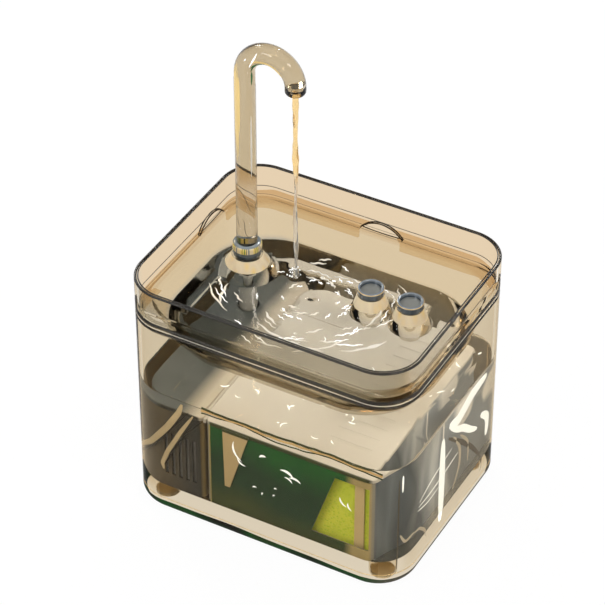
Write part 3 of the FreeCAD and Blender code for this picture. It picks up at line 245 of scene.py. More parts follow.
# Runs from 0 to 1 between two places along one of the object's axes
def axisShare(tree, axis, low, high):
    coords = addNode(tree, "ShaderNodeTexCoord", (-1100, 300))
    split = addNode(tree, "ShaderNodeSeparateXYZ", (-920, 300))
    joinSockets(tree, coords.outputs["Object"], split.inputs[0])
    return rangeNode(tree, split.outputs[axis], low, high, place=(-740, 300))


# Mixes two colours, each a plain colour or a socket
def mixColours(tree, share, first, second, place=(0, 200)):
    mix = addNode(tree, "ShaderNodeMix", place, data_type="RGBA")
    sockets = {socket.name: socket for socket in mix.inputs if socket.type == "RGBA"}
    for name, colour in (("A", first), ("B", second)):
        if isinstance(colour, tuple):
            sockets[name].default_value = (*colour, 1)
        else:
            joinSockets(tree, colour, sockets[name])
    joinSockets(tree, share, mix.inputs["Factor"])
    return [socket for socket in mix.outputs if socket.type == "RGBA"][0]


# A colour made darker or lighter
def toned(colour, factor):
    return tuple(max(0, min(1, part * factor)) for part in colour)


# A tint that changes with height behind the front wall, with a greyer low left end and a pale right side
def placedTint(tree, tint, warm):
    tints = rampNode(tree, warm["steps"], (-400, 400))
    joinSockets(tree, axisShare(tree, "Z", warm["low"], warm["high"]), tints.inputs["Fac"])
    behind = axisShare(tree, "Y", warm["front"], warm["back"])
    shade = mixColours(tree, behind, tint, tints.outputs["Color"])
    if "lowLeftGrey" in warm:
        side, under = axisShare(tree, "X", *warm["lowLeftGreySide"]), axisShare(tree, "Z", *warm["lowLeftGreyTop"])
        shade = mixColours(tree, mathNode(tree, "MULTIPLY", side, under), shade, warm["lowLeftGrey"])
        shade = mixColours(tree, axisShare(tree, "X", *warm["rightSide"]), shade, warm["right"])
    return shade


# Clear plastic or water: it bends light, absorbs along its depth and lets the lamps through
def clearMaterial(
    name, ior, tint, absorb, density, smudge=0.02, sheenTint=0.4, shadowTint=(0.975, 0.97, 0.96), warm=None
):
    material, tree, out = newMaterial(name)
    body = addNode(tree, "ShaderNodeBsdfPrincipled", (200, 100), IOR=ior)
    body.inputs["Base Color"].default_value = (*tint, 1)
    if warm:
        joinSockets(tree, placedTint(tree, tint, warm), body.inputs["Base Color"])
    body.inputs["Transmission Weight"].default_value = 1.0
    body.inputs["Specular Tint"].default_value = (sheenTint, sheenTint, sheenTint, 1)
    smudges = rangeNode(tree, placedNoise(tree, 60, 3).outputs["Fac"], 0.5, 0.8, 0.0, smudge)
    joinSockets(tree, smudges, body.inputs["Roughness"])
    path = addNode(tree, "ShaderNodeLightPath", (200, 500))
    through = addNode(tree, "ShaderNodeBsdfTransparent", (200, 250), Color=(*shadowTint, 1))
    skin = mixShaders(tree, path.outputs["Is Shadow Ray"], body.outputs[0], through.outputs[0], (600, 100))
    joinSockets(tree, skin, out.inputs["Surface"])
    depth = addNode(tree, "ShaderNodeVolumeAbsorption", (600, -150), Color=(*absorb, 1), Density=density)
    joinSockets(tree, depth.outputs[0], out.inputs["Volume"])
    return material


# Moulded plastic, rubber or metal with a fine grain and a little unevenness of colour
def plasticMaterial(
    name, colour, roughness=0.4, grainScale=900, grainDepth=0.00001,
    mottle=0.06, metal=0.0, coat=0.0, turns=(),
):
    material, tree, out = newMaterial(name)
    body = addNode(tree, "ShaderNodeBsdfPrincipled", (500, 0), Metallic=metal)
    body.inputs["Coat Weight"].default_value = coat
    body.inputs["Coat Roughness"].default_value = 0.08
    cloud = placedNoise(tree, 45, 3)
    shade = mixColours(tree, cloud.outputs["Fac"], toned(colour, 1 - mottle), toned(colour, 1 + mottle))
    # each turn is another colour that takes over along an axis
    for axis, low, high, other in turns:
        shade = mixColours(tree, axisShare(tree, axis, low, high), shade, other)
    joinSockets(tree, shade, body.inputs["Base Color"])
    fine = placedNoise(tree, grainScale, 2)
    gloss = rangeNode(tree, fine.outputs["Fac"], 0, 1, roughness * 0.85, min(1, roughness * 1.2))
    joinSockets(tree, gloss, body.inputs["Roughness"])
    bump = addNode(tree, "ShaderNodeBump", (200, -250), Strength=0.3, Distance=grainDepth)
    joinSockets(tree, fine.outputs["Fac"], bump.inputs["Height"])
    joinSockets(tree, bump.outputs[0], body.inputs["Normal"])
    joinSockets(tree, body.outputs[0], out.inputs["Surface"])
    return material


# Open-cell foam: bright struts, with painted shade darkening the pores between them
def foamMaterial(name, light, dark, cell=520, depth=0.0005):
    material, tree, out = newMaterial(name)
    body = addNode(tree, "ShaderNodeBsdfPrincipled", (500, 0), Roughness=0.85)
    body.inputs["Sheen Weight"].default_value = 0.25
    coords = addNode(tree, "ShaderNodeTexCoord", (-900, 0))
    pores = addNode(tree, "ShaderNodeTexVoronoi", (-500, 0), Scale=cell)
    joinSockets(tree, coords.outputs["Object"], pores.inputs["Vector"])
    ramp = rampNode(tree, [(0.05, dark), (0.40, light)], (-200, 100))
    joinSockets(tree, pores.outputs["Distance"], ramp.inputs["Fac"])
    cloud = rangeNode(tree, placedNoise(tree, 40, 2).outputs["Fac"], 0.35, 0.75, 0.0, 0.5)
    joinSockets(tree, mixColours(tree, cloud, ramp.outputs["Color"], dark), body.inputs["Base Color"])
    bump = addNode(tree, "ShaderNodeBump", (200, -250), Strength=0.6, Distance=depth)
    joinSockets(tree, pores.outputs["Distance"], bump.inputs["Height"])
    joinSockets(tree, bump.outputs[0], body.inputs["Normal"])
    joinSockets(tree, body.outputs[0], out.inputs["Surface"])
    return material


housingFinish = {
    "bright": (0.010, 0.125, 0.022),
    "deep": (0.014, 0.058, 0.024),
    "olive": (0.055, 0.080, 0.020),
    "tan": (0.50, 0.41, 0.20),
    "tanStart": 0.056,
    "tanFade": 0.006,
    "rimGold": (0.55, 0.45, 0.20),
    "rimEnd": -0.0372,
    "rimFade": 0.0006,
    "sides": (0.34, 0.33, 0.30),
    "front": (-0.0664, -0.0655),  # where the green front turns into the grey sides
    "low": 0.020,
    "high": 0.080,
    "sway": 0.8,  # how unevenly the greens meet
}
endReflectionPaint = {
    "slate": (0.085, 0.110, 0.140),
    "slateLight": (0.20, 0.24, 0.29),
    "grey": (0.34, 0.38, 0.43),
    "pale": (0.66, 0.70, 0.74),
    "white": (1.0, 1.0, 1.0),
    "halfDepth": 0.067,
    "streakScale": 42,
    "streakLength": 0.22,  # the lower, the longer the streaks run down
    "patchLow": (0.054, 0.060),
    "patchFront": (0.012, 0.020),
    "patchScale": 34,
    # the bright upright bar is a painted highlight
    "bar": (-0.001, 0.0005),  # where the bright upright bar stands
    "barFade": 0.0004,
    "start": 0.0742,
    "bands": [(0.30, "slate"), (0.50, "slateLight"), (0.62, "slate"), (0.74, "grey"), (0.90, "pale"),
              (1.0, "grey")],
}


# Painted reflections: bands of slate, grey and white that run down the filter housing's end
def paintedEndReflections(tree):
    streaks = placedNoise(tree, endReflectionPaint["streakScale"], 2, (1, 1, endReflectionPaint["streakLength"]))
    drift = axisShare(tree, "Y", -endReflectionPaint["halfDepth"], endReflectionPaint["halfDepth"])
    bands = rampNode(tree, [(place, endReflectionPaint[shade]) for place, shade in endReflectionPaint["bands"]], (-200, 900))
    place = mathNode(tree, "MULTIPLY_ADD", streaks.outputs["Fac"], 0.75, drift)
    joinSockets(tree, place, bands.inputs["Fac"])
    # a painted highlight patch high up towards the back
    high = axisShare(tree, "Z", *endReflectionPaint["patchLow"])
    far = axisShare(tree, "Y", *endReflectionPaint["patchFront"])
    blot = rangeNode(tree, placedNoise(tree, endReflectionPaint["patchScale"], 0.5).outputs["Fac"], 0.40, 0.44)
    patch = mathNode(tree, "MULTIPLY", mathNode(tree, "MULTIPLY", high, far), blot)
    patched = mixColours(tree, patch, bands.outputs["Color"], endReflectionPaint["white"])
    start, stop = endReflectionPaint["bar"]
    rising = axisShare(tree, "Y", start - endReflectionPaint["barFade"], start)
    falling = axisShare(tree, "Y", stop + endReflectionPaint["barFade"], stop)
    return mixColours(tree, mathNode(tree, "MULTIPLY", rising, falling), patched, endReflectionPaint["white"])


# Deep green front with a tan edge, grey sides and a streaked end; the green front with its gold edge line and
# the end's streaks are painted reflections
def housingMaterial():
    finish = housingFinish
    material, tree, out = newMaterial("deepGreenHousing")
    body = addNode(tree, "ShaderNodeBsdfPrincipled", (600, 0), Roughness=0.35)
    body.inputs["Specular IOR Level"].default_value = 0.3
    cloud = placedNoise(tree, 18, 2, (1, 1, 0.6))
    shift = mathNode(tree, "MULTIPLY_ADD", cloud.outputs["Fac"], finish["sway"], -finish["sway"] / 2)
    rise = mathNode(tree, "ADD", axisShare(tree, "Z", finish["low"], finish["high"]), shift)
    steps = ((0.0, "olive"), (0.3, "deep"), (0.6, "deep"), (1.0, "bright"))
    ramp = rampNode(tree, [(place, finish[shade]) for place, shade in steps], (-200, 400))
    joinSockets(tree, rise, ramp.inputs["Fac"])
    rimShare = axisShare(tree, "X", finish["rimEnd"] + finish["rimFade"], finish["rimEnd"])
    green = mixColours(tree, rimShare, ramp.outputs["Color"], finish["rimGold"])
    tanShare = axisShare(tree, "X", finish["tanStart"], finish["tanStart"] + finish["tanFade"])
    front = mixColours(tree, tanShare, green, finish["tan"])
    shell = mixColours(tree, axisShare(tree, "Y", *finish["front"]), front, finish["sides"])
    endShare = axisShare(tree, "X", endReflectionPaint["start"], endReflectionPaint["start"] + endReflectionPaint["barFade"])
    joinSockets(tree, mixColours(tree, endShare, shell, paintedEndReflections(tree)), body.inputs["Base Color"])
    joinSockets(tree, body.outputs[0], out.inputs["Surface"])
    return material


# The object's coordinates, measured from the upright axis through the middle of a box
def fromMiddle(tree, low, high):
    coords = addNode(tree, "ShaderNodeTexCoord", (-1300, 0))
    centred = addNode(tree, "ShaderNodeVectorMath", (-1120, 0), operation="SUBTRACT")
    centred.inputs[1].default_value = ((low[0] + high[0]) / 2, (low[1] + high[1]) / 2, 0)
    joinSockets(tree, coords.outputs["Object"], centred.inputs[0])
    return centred.outputs[0]


def glazedBody(tree, roughness, coat, coatRoughness):
    body = addNode(tree, "ShaderNodeBsdfPrincipled", (600, 0), Roughness=roughness)
    body.inputs["Coat Weight"].default_value = coat
    body.inputs["Coat Roughness"].default_value = coatRoughness
    return body


capFinish = {
    "ring": (0.055, 0.075, 0.095),
    "steel": (0.20, 0.23, 0.26),
    "skirt": (0.80, 0.62, 0.34),
    "middle": (0.24, 0.245, 0.225),
    "recess": 0.0062,  # radius of the sunk middle
    "recessFade": 0.0003,
    "steelDrop": (0.0016, 0.0012),  # below the cap's top
    "skirtDrop": (0.0052, 0.0056),
    "metal": 0.25,
}


# Slate blue glazed ring with a steel top and a golden skirt, round a paler sunk middle; the steel top and the
# golden skirt are painted reflections
def capMaterial(name, node):
    low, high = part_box(node)
    material, tree, out = newMaterial(name)
    body = glazedBody(tree, 0.12, 0.9, 0.03)
    flat = addNode(tree, "ShaderNodeVectorMath", (-720, 0), operation="MULTIPLY")
    flat.inputs[1].default_value = (1, 1, 0)
    joinSockets(tree, fromMiddle(tree, low, high), flat.inputs[0])
    reach = addNode(tree, "ShaderNodeVectorMath", (-540, 0), operation="LENGTH")
    joinSockets(tree, flat.outputs[0], reach.inputs[0])
    recess = capFinish["recess"]
    outside = rangeNode(tree, reach.outputs["Value"], recess, recess + capFinish["recessFade"])
    cloud = placedNoise(tree, 150, 3).outputs["Fac"]
    middle = mixColours(tree, cloud, toned(capFinish["middle"], 0.6), capFinish["middle"])
    shade = mixColours(tree, cloud, toned(capFinish["ring"], 0.45), toned(capFinish["ring"], 1.8))
    for drops, colour in ((capFinish["steelDrop"], "steel"), (capFinish["skirtDrop"], "skirt")):
        share = axisShare(tree, "Z", *[high[2] - drop for drop in drops])
        shade = mixColours(tree, share, shade, capFinish[colour])
    joinSockets(tree, mixColours(tree, outside, middle, shade), body.inputs["Base Color"])
    joinSockets(tree, mathNode(tree, "MULTIPLY", outside, capFinish["metal"]), body.inputs["Metallic"])
    joinSockets(tree, body.outputs[0], out.inputs["Surface"])
    return material


collarFinish = {
    "cream": (0.72, 0.58, 0.34),
    "gold": (0.80, 0.60, 0.16),
    "slate": (0.16, 0.19, 0.21),
    "dark": (0.02, 0.03, 0.02),
    "green": (0.10, 0.20, 0.04),
    "slateDeep": (0.075, 0.090, 0.100),
    "bandLow": 0.1378,
    "bandHigh": 0.1417,
    "bandFades": (0.0004, 0.0003),
    "stripes": 7,  # times that the row of stripes goes round
    "row": [(0.0, "cream"), (0.30, "gold"), (0.42, "dark"), (0.47, "gold"), (0.58, "green"), (0.66, "gold"),
            (0.74, "dark"), (0.79, "cream"), (0.90, "slate")],
}


# Painted reflections: gold and cream upright stripes round the swivel collar, with thin dark ones between
def collarReflectionMaterial():
    finish = collarFinish
    material, tree, out = newMaterial("collarPaintedReflections")
    low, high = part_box("faucet_collar")
    body = glazedBody(tree, 0.10, 0.8, 0.03)
    split = addNode(tree, "ShaderNodeSeparateXYZ", (-940, 0))
    joinSockets(tree, fromMiddle(tree, low, high), split.inputs[0])
    angle = mathNode(tree, "ARCTAN2", split.outputs["Y"], split.outputs["X"], place=(-760, 0))
    # the 20 keeps the count of turns above zero
    turns = mathNode(tree, "MULTIPLY_ADD", angle, finish["stripes"] / (2 * math.pi), 20, place=(-600, 0))
    ramp = rampNode(tree, [(place, finish[shade]) for place, shade in finish["row"]], (-200, 0), "CONSTANT")
    joinSockets(tree, mathNode(tree, "FRACT", turns, place=(-440, 0)), ramp.inputs["Fac"])
    fadeLow, fadeHigh = finish["bandFades"]
    lower = axisShare(tree, "Z", finish["bandLow"] + fadeLow, finish["bandLow"])
    upper = axisShare(tree, "Z", finish["bandHigh"], finish["bandHigh"] + fadeHigh)
    banded = mixColours(tree, lower, ramp.outputs["Color"], finish["slateDeep"])
    joinSockets(tree, mixColours(tree, upper, banded, finish["slate"]), body.inputs["Base Color"])
    joinSockets(tree, body.outputs[0], out.inputs["Surface"])
    return material


coneFinish = {
    "rim": (0.80, 0.66, 0.46),
    "gold": (0.88, 0.64, 0.24),
    "pale": (0.88, 0.74, 0.50),
    "facets": 170,
}


# Warm cream glaze with golden facets, painted as the thick clear stands look: painted refraction colours
def standRefractionMaterial():
    material, tree, out = newMaterial("creamStandRefraction")
    body = glazedBody(tree, 0.2, 0.5, 0.04)
    coords = addNode(tree, "ShaderNodeTexCoord", (-900, 0))
    mapping = addNode(tree, "ShaderNodeMapping", (-720, 0), Scale=(1, 1, 0.3))
    joinSockets(tree, coords.outputs["Object"], mapping.inputs["Vector"])
    facets = addNode(tree, "ShaderNodeTexVoronoi", (-500, 0), Scale=coneFinish["facets"])
    joinSockets(tree, mapping.outputs[0], facets.inputs["Vector"])
    steps = ((0.0, "gold"), (0.45, "rim"), (0.8, "pale"))
    ramp = rampNode(tree, [(place, coneFinish[shade]) for place, shade in steps], (-200, 100))
    joinSockets(tree, facets.outputs["Distance"], ramp.inputs["Fac"])
    joinSockets(tree, ramp.outputs["Color"], body.inputs["Base Color"])
    joinSockets(tree, body.outputs[0], out.inputs["Surface"])
    return material


clearFinish = {
    "tank": {"ior": 1.05, "tint": (0.84, 0.79, 0.70), "absorb": (0.70, 0.55, 0.25), "density": 40},
    "tray": {
        "ior": 1.03,
        "tint": (0.70, 0.68, 0.625),
        "absorb": (0.70, 0.55, 0.25),
        "density": 14,
        # warmer towards the rim, and clearer along the front
        "warm": {
            "low": 0.110,
            "high": 0.170,
            "steps": [(0.10, (0.77, 0.735, 0.675)), (0.20, (0.88, 0.775, 0.61)), (0.615, (0.88, 0.775, 0.61)),
                      (0.625, (0.80, 0.645, 0.455))],
            "lowLeftGrey": (0.58, 0.585, 0.57),
            "lowLeftGreySide": (-0.046, -0.060),
            "lowLeftGreyTop": (0.1290, 0.1255),
            "right": (0.93, 0.90, 0.85),
            "rightSide": (0.0900, 0.0915),
            "front": -0.066,
            "back": -0.050,
        },
    },
    "faucet": {
        "ior": 1.40,
        "tint": (0.83, 0.755, 0.625),
        "absorb": (0.66, 0.60, 0.48),
        "density": 110,
        # greyer where it stands in the bowl
        "warm": {
            "low": 0.150,
            "high": 0.230,
            "steps": [(0.0, (0.97, 0.97, 0.98)), (0.40, (0.96, 0.95, 0.94)), (0.55, (0.83, 0.755, 0.625))],
            "front": -0.066,
            "back": -0.050,
        },
    },
    "water": {
        "ior": 1.333,
        "tint": (0.98, 0.98, 0.97),
        "absorb": (0.60, 0.55, 0.45),
        "density": 4,
        "smudge": 0.0,
        "sheenTint": 0.5,
        "shadowTint": (0.985, 0.985, 0.98),
    },
}
tankPlastic = clearMaterial("amberClearTank", **clearFinish["tank"])
trayPlastic = clearMaterial("amberClearTray", **clearFinish["tray"])
faucetPlastic = clearMaterial("amberFaucetTube", **clearFinish["faucet"])
poolWater = clearMaterial("poolWater", **clearFinish["water"])
# Edge lines painted where the thick clear plastic bends light: the dark ones are painted shade, the pale ones
# painted highlights and the golden ones painted reflections
edgeShadePaint = plasticMaterial("edgeShade", (0.014, 0.012, 0.010), 0.25, mottle=0.3)
softEdgeShadePaint = plasticMaterial("softEdgeShade", (0.10, 0.085, 0.065), 0.3, mottle=0.2)
edgeHighlightPaint = plasticMaterial("edgeGleam", (0.86, 0.80, 0.70), 0.25, mottle=0.05)
goldEdgeReflectionPaint = plasticMaterial("paintedGoldEdge", (0.78, 0.56, 0.26), 0.25, mottle=0.1)

finishes = {
    "tank": tankPlastic,
    "tray": trayPlastic,
    "faucet": faucetPlastic,
    "faucet_nozzle": faucetPlastic,
    "faucet_collar": collarReflectionMaterial(),
    "collar_ring": plasticMaterial(
        "slateBand", (0.09, 0.115, 0.135), 0.12, 1500, 0.000005, 0.4, metal=0.7, coat=0.6
    ),
    "tail_gasket": plasticMaterial("sealRubber", (0.05, 0.05, 0.05), 0.7, 1200),
    "tail_pipe": plasticMaterial("pipePlastic", (0.62, 0.62, 0.60), 0.35),
    "stem_o_rings": plasticMaterial("ringRubber", (0.06, 0.055, 0.05), 0.6, 1200),
    "foot_pads": plasticMaterial("padRubber", (0.84, 0.78, 0.66), 0.75, 1200),
    "suction_cups": plasticMaterial("cupRubber", (0.08, 0.08, 0.09), 0.55, 900),
    "hose": plasticMaterial("cloudySilicone", (0.40, 0.40, 0.38), 0.35, 600, mottle=0.04),
    "overflow_cap_left": capMaterial("capGlazeLeft", "overflow_cap_left"),
    "overflow_cap_right": capMaterial("capGlazeRight", "overflow_cap_right"),
    "pump_chamber": plasticMaterial(
        "charcoalPlastic", (0.100, 0.080, 0.050), 0.35, mottle=0.35,
        turns=[("X", -0.070, -0.050, (0.030, 0.030, 0.028)), ("X", -0.0445, -0.0425, (0.38, 0.29, 0.13))],
    ),
    "chamber_lid": plasticMaterial(
        "slatePlastic", (0.085, 0.100, 0.105), 0.42, mottle=0.5,
        turns=[("X", -0.058, -0.047, (0.60, 0.56, 0.49)), ("Y", -0.0660, -0.0668, (0.03, 0.03, 0.025))],
    ),
    "filter_housing": housingMaterial(),
    "filter_lid": plasticMaterial(
        "paleGreyPlastic", (0.72, 0.71, 0.69), 0.45, mottle=0.07,
        turns=[("Y", -0.0655, -0.0668, (0.045, 0.060, 0.016)), ("Z", 0.0795, 0.0788, (0.66, 0.52, 0.29))],
    ),
    "cartridge_frame": plasticMaterial("tanPlastic", (0.80, 0.64, 0.36), 0.4),
    "cartridge_foam": foamMaterial("limeFoam", (0.90, 1.0, 0.10), (0.50, 0.80, 0.03)),
    "carbon_block": plasticMaterial("carbonGrain", (0.035, 0.035, 0.038), 0.8, 500, 0.0003, 0.3),
    "prefilter_foam": foamMaterial("greyFoam", (0.22, 0.22, 0.23), (0.05, 0.05, 0.05), 600),
    "pump_body": plasticMaterial("pumpBlack", (0.030, 0.030, 0.032), 0.35),
    "intake_cover": plasticMaterial("coverBlack", (0.035, 0.035, 0.038), 0.4),
    "flow_regulator": plasticMaterial("dialGrey", (0.55, 0.55, 0.54), 0.35),
    "cord_gland": plasticMaterial("glandRubber", (0.05, 0.05, 0.05), 0.65),
    "stator_core": plasticMaterial("coreSheets", (0.30, 0.30, 0.31), 0.35, 1400, 0.00005, 0.1, metal=0.9),
    "stator_coil": plasticMaterial("copperWinding", (0.62, 0.26, 0.10), 0.3, 1600, 0.00008, 0.2, metal=0.9),
    "rotor_magnet": plasticMaterial("ferrite", (0.06, 0.06, 0.06), 0.45),
    "impeller": plasticMaterial("impellerWhite", (0.72, 0.72, 0.70), 0.35),
    "rotor_shaft": plasticMaterial("polishedShaft", (0.70, 0.70, 0.72), 0.12, 2000, 0.00001, 0.03, metal=1.0),
    "shaft_bushes": plasticMaterial("bushRubber", (0.09, 0.09, 0.09), 0.6),
}
finishes["pump_volute"] = finishes["pump_end_cap"] = finishes["pump_body"]


def paint(node, material):
    for place in node.material_slots:
        place.material = material


for name, material in finishes.items():
    paint(nodes[name], material)
print("finishes laid on", len(finishes), "packed pieces")

# mesh helpers

tankForm = {"halfWidth": 0.095, "halfDepth": 0.075, "radius": 0.026}
offAxis = Vector((0.113, 0.207, 0.972))  # a direction that no bead runs along


def linkPiece(name, mesh, material, body):
    piece = bpy.data.objects.new(name, mesh)
    scene.collection.objects.link(piece)
    mesh.materials.append(material)
    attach(piece, body)
    return piece


def meshFrom(shape, name, sharp=50):
    bmesh.ops.recalc_face_normals(shape, faces=shape.faces)
    mesh = bpy.data.meshes.new(name)
    shape.to_mesh(mesh)
    shape.free()
    mesh.polygons.foreach_set("use_smooth", [True] * len(mesh.polygons))
    mesh.set_sharp_from_angle(angle=math.radians(sharp))
    return mesh


def bridgeLoops(shape, loops):
    for low, high in zip(loops, loops[1:]):
        count = len(low)
        for step in range(count):
            shape.faces.new((low[step], low[(step + 1) % count], high[(step + 1) % count], high[step]))


def closeEnds(shape, loops):
    shape.faces.new(list(reversed(loops[0])))
    shape.faces.new(loops[-1])


# Points round a rectangle with round corners, counterclockwise from the right side
def roundedOutline(halfWidth, halfDepth, radius, perCorner=24, perSide=30):
    points = []
    corners = [(1, 1, 0), (-1, 1, 90), (-1, -1, 180), (1, -1, 270)]

    def onCorner(number, share):
        signX, signY, start = corners[number % 4]
        centre = Vector((signX * (halfWidth - radius), signY * (halfDepth - radius)))
        angle = math.radians(start + 90 * share)
        return centre + radius * Vector((math.cos(angle), math.sin(angle)))

    for number in range(4):
        points += [onCorner(number, step / perCorner) for step in range(perCorner + 1)]
        last, follows = points[-1], onCorner(number + 1, 0)
        points += [last.lerp(follows, step / perSide) for step in range(1, perSide)]
    return points


# A thin round bead along a run of points
def tubeMesh(name, path, width, closed=False, around=8, widths=None):
    shape = bmesh.new()
    loops = []
    count = len(path)
    for step, point in enumerate(path):
        before = path[(step - 1) % count] if closed or step else point
        after = path[(step + 1) % count] if closed or step < count - 1 else point
        along = (after - before).normalized()
        side = along.cross(offAxis).normalized()
        lift = side.cross(along).normalized()
        loop = []
        reach = widths[step] if widths else width
        for turn in range(around):
            angle = 2 * math.pi * turn / around
            loop.append(shape.verts.new(point + reach * (math.cos(angle) * side + math.sin(angle) * lift)))
        loops.append(loop)
    bridgeLoops(shape, loops + [loops[0]] if closed else loops)
    if not closed:
        closeEnds(shape, loops)
    return meshFrom(shape, name, 80)


# A turned form from pairs of radius and height, about an upright axis
def turnedMesh(name, profile, x, y, around=96, solid=False, wobble=None):
    shape = bmesh.new()
    loops = []
    for radius, level in profile:
        loop = []
        for step in range(around):
            angle = 2 * math.pi * step / around
            reach = radius * (wobble(angle, level) if wobble else 1)
            spot = (x + reach * math.cos(angle), y + reach * math.sin(angle), level)
            loop.append(shape.verts.new(spot))
        loops.append(loop)
    bridgeLoops(shape, loops)
    if solid:
        closeEnds(shape, loops)
    return meshFrom(shape, name)


# water

boss = Vector((-0.067, 0.0304))
postPlaces = (0.020, 0.047)
streamFoot = Vector((-0.0325, 0.0304))


# An even up and down between about -1 and 1 over a plane
def sway(x, y, scale, seed):
    return noise.noise(Vector((x * scale, y * scale, seed)))


# Thin curved crests: 1 on a crest and 0 away from it
def ridge(x, y, scale, seed, sharp):
    return (1 - abs(sway(x, y, scale, seed))) ** sharp


# A closed body of water: outlines from its floor to its rim, then rings in to the middle that ripple
def waterBody(name, layers, surfaceHeight, rings):
    shape = bmesh.new()
    finer = {"perCorner": 36, "perSide": 72}
    loops = []
    for halfWidth, halfDepth, radius, level in layers:
        outline = roundedOutline(halfWidth, halfDepth, radius, **finer)
        loops.append([shape.verts.new((*point, level)) for point in outline])
    rimWidth, rimDepth, rimRadius = layers[-1][:3]
    rim = roundedOutline(rimWidth, rimDepth, rimRadius, **finer)
    core = max(0.0, rimWidth - rimDepth)
    for share in rings:
        loop = []
        for point in rim:
            middle = Vector((max(-core, min(core, point.x)), 0))
            place = middle + (point - middle) * share
            loop.append(shape.verts.new((place.x, place.y, surfaceHeight(place.x, place.y, share))))
        loops.append(loop)
    bridgeLoops(shape, loops)
    closeEnds(shape, loops)
    bmesh.ops.remove_doubles(shape, verts=shape.verts, dist=1e-6)
    bmesh.ops.triangulate(shape, faces=[face for face in shape.faces if len(face.verts) > 4])
    return meshFrom(shape, name)


trayPool = {
    "bottom": 0.116,
    "level": 0.127,
    "bite": 0.00015,  # how far the water reaches into the wall that holds it
    "bottomForm": (0.079, 0.053, 0.038),  # half width, half depth and corner radius
    "levelForm": (0.087, 0.0615, 0.042),
    # heights and radii a hair narrower than the boss and the posts
    "bossTaper": [(0.115, 0.0199), (0.116, 0.0199), (0.133, 0.0097), (0.134, 0.009)],
    "postTaper": [(0.115, 0.0139), (0.116, 0.0139), (0.134, 0.00815), (0.135, 0.008)],
    "domePlace": (-0.014, 0.0163),
    "domeHeight": 0.0011,
    "domeWidth": 0.0042,
    "domeRough": 0.35,
    "domeScale": 400,
    "ringLength": 0.0125,
    "ringHeight": 0.00016,
    "ringReach": 0.022,
    "swell": 0.00040,
    "swellScale": 24,
    "crestHeight": 0.00018,
    "crestScale": 62,
    "crestSharp": 14,
    "patchScale": 22,
    "meniscus": 0.0005,
}


def trayRipple(x, y, share):
    pool = trayPool
    height = 0
    for place, strength in ((streamFoot, 1.0), (Vector(pool["domePlace"]), 0.9)):
        away = (Vector((x, y)) - place).length
        wave = math.cos(2 * math.pi * away / pool["ringLength"])
        height += strength * pool["ringHeight"] * wave * math.exp(-away / pool["ringReach"])
    dome = (Vector((x, y)) - Vector(pool["domePlace"])).length / pool["domeWidth"]
    rough = 1 + pool["domeRough"] * sway(x, y, pool["domeScale"], 3)
    height += pool["domeHeight"] * math.exp(-dome * dome) * rough
    height += pool["swell"] * sway(x, y, pool["swellScale"], 1.7)
    patch = max(0.0, min(1.0, 3 * sway(x, y, pool["patchScale"], 6.1) + 0.35))
    height += pool["crestHeight"] * patch * ridge(x, y, pool["crestScale"], 2.9, pool["crestSharp"])
    calm = min(1.0, (1 - share) / 0.05)
    return pool["level"] + height * calm + pool["meniscus"] * max(0.0, (share - 0.985) / 0.015) ** 2


def surfaceRings(count):
    shares = [0.9995, 0.998, 0.995, 0.99, 0.98]
    return shares + [0.98 * (1 - step / count) for step in range(1, count)] + [0.004]


# A turned form that takes a stand's place out of the water
def coneCutter(x, y, levels):
    mesh = turnedMesh("cutter", [(radius, level) for level, radius in levels], x, y, 64, True)
    cutter = bpy.data.objects.new("cutter", mesh)
    scene.collection.objects.link(cutter)
    return cutter


def cutAway(piece, cutters):
    for cutter in cutters:
        step = piece.modifiers.new("cut", "BOOLEAN")
        step.operation = "DIFFERENCE"
        step.solver = "EXACT"
        step.object = cutter
    bpy.context.view_layer.update()
    evaluated = piece.evaluated_get(bpy.context.evaluated_depsgraph_get())
    mesh = bpy.data.meshes.new_from_object(evaluated)
    piece.modifiers.clear()
    old = piece.data
    piece.data = mesh
    bpy.data.meshes.remove(old)
    for cutter in cutters:
        data = cutter.data
        bpy.data.objects.remove(cutter)
        bpy.data.meshes.remove(data)
    mesh.polygons.foreach_set("use_smooth", [True] * len(mesh.polygons))
    mesh.set_sharp_from_angle(angle=math.radians(50))


def addTrayWater():
    bite = trayPool["bite"]
    layers = []
    for form, level in (("bottomForm", trayPool["bottom"] - bite), ("levelForm", trayPool["level"])):
        halfWidth, halfDepth, radius = trayPool[form]
        layers.append((halfWidth + bite, halfDepth + bite, radius, level))
    mesh = waterBody("trayWater", layers, trayRipple, surfaceRings(110))
    water = linkPiece("trayWater", mesh, poolWater, "tray")
    posts = [coneCutter(x, boss.y, trayPool["postTaper"]) for x in postPlaces]
    cutAway(water, [coneCutter(*boss, trayPool["bossTaper"]), *posts])


tankPool = {
    "level": 0.093,
    "bite": 0.00015,
    "floor": 0.0172,
    "floorRound": 0.004,
    "form": (0.092, 0.072, 0.023),  # half width, half depth and corner radius
    "edgeDrop": 0.003,
    "swell": 0.0013,
    "swellScale": 21,
    "crestHeight": 0.00035,
    "crestScale": 48,
    "crestSharp": 14,
    "patchScale": 18,
    "meniscus": 0.0007,
}


def tankRipple(x, y, share):
    pool = tankPool
    wide = noise.fractal(Vector((x * pool["swellScale"], y * pool["swellScale"], 4.2)), 0.9, 2.1, 2)
    edgeShare = 0.35 + 0.65 * max(0.0, min(1.0, (share - 0.7) / 0.3))
    patch = max(0.0, min(1.0, 3 * sway(x, y, pool["patchScale"], 9.1) + 0.2))
    crest = patch * ridge(x, y, pool["crestScale"], 5.3, pool["crestSharp"])
    edge = pool["meniscus"] * max(0.0, (share - 0.99) / 0.01) ** 2
    return pool["level"] + pool["swell"] * wide * edgeShare + pool["crestHeight"] * crest + edge


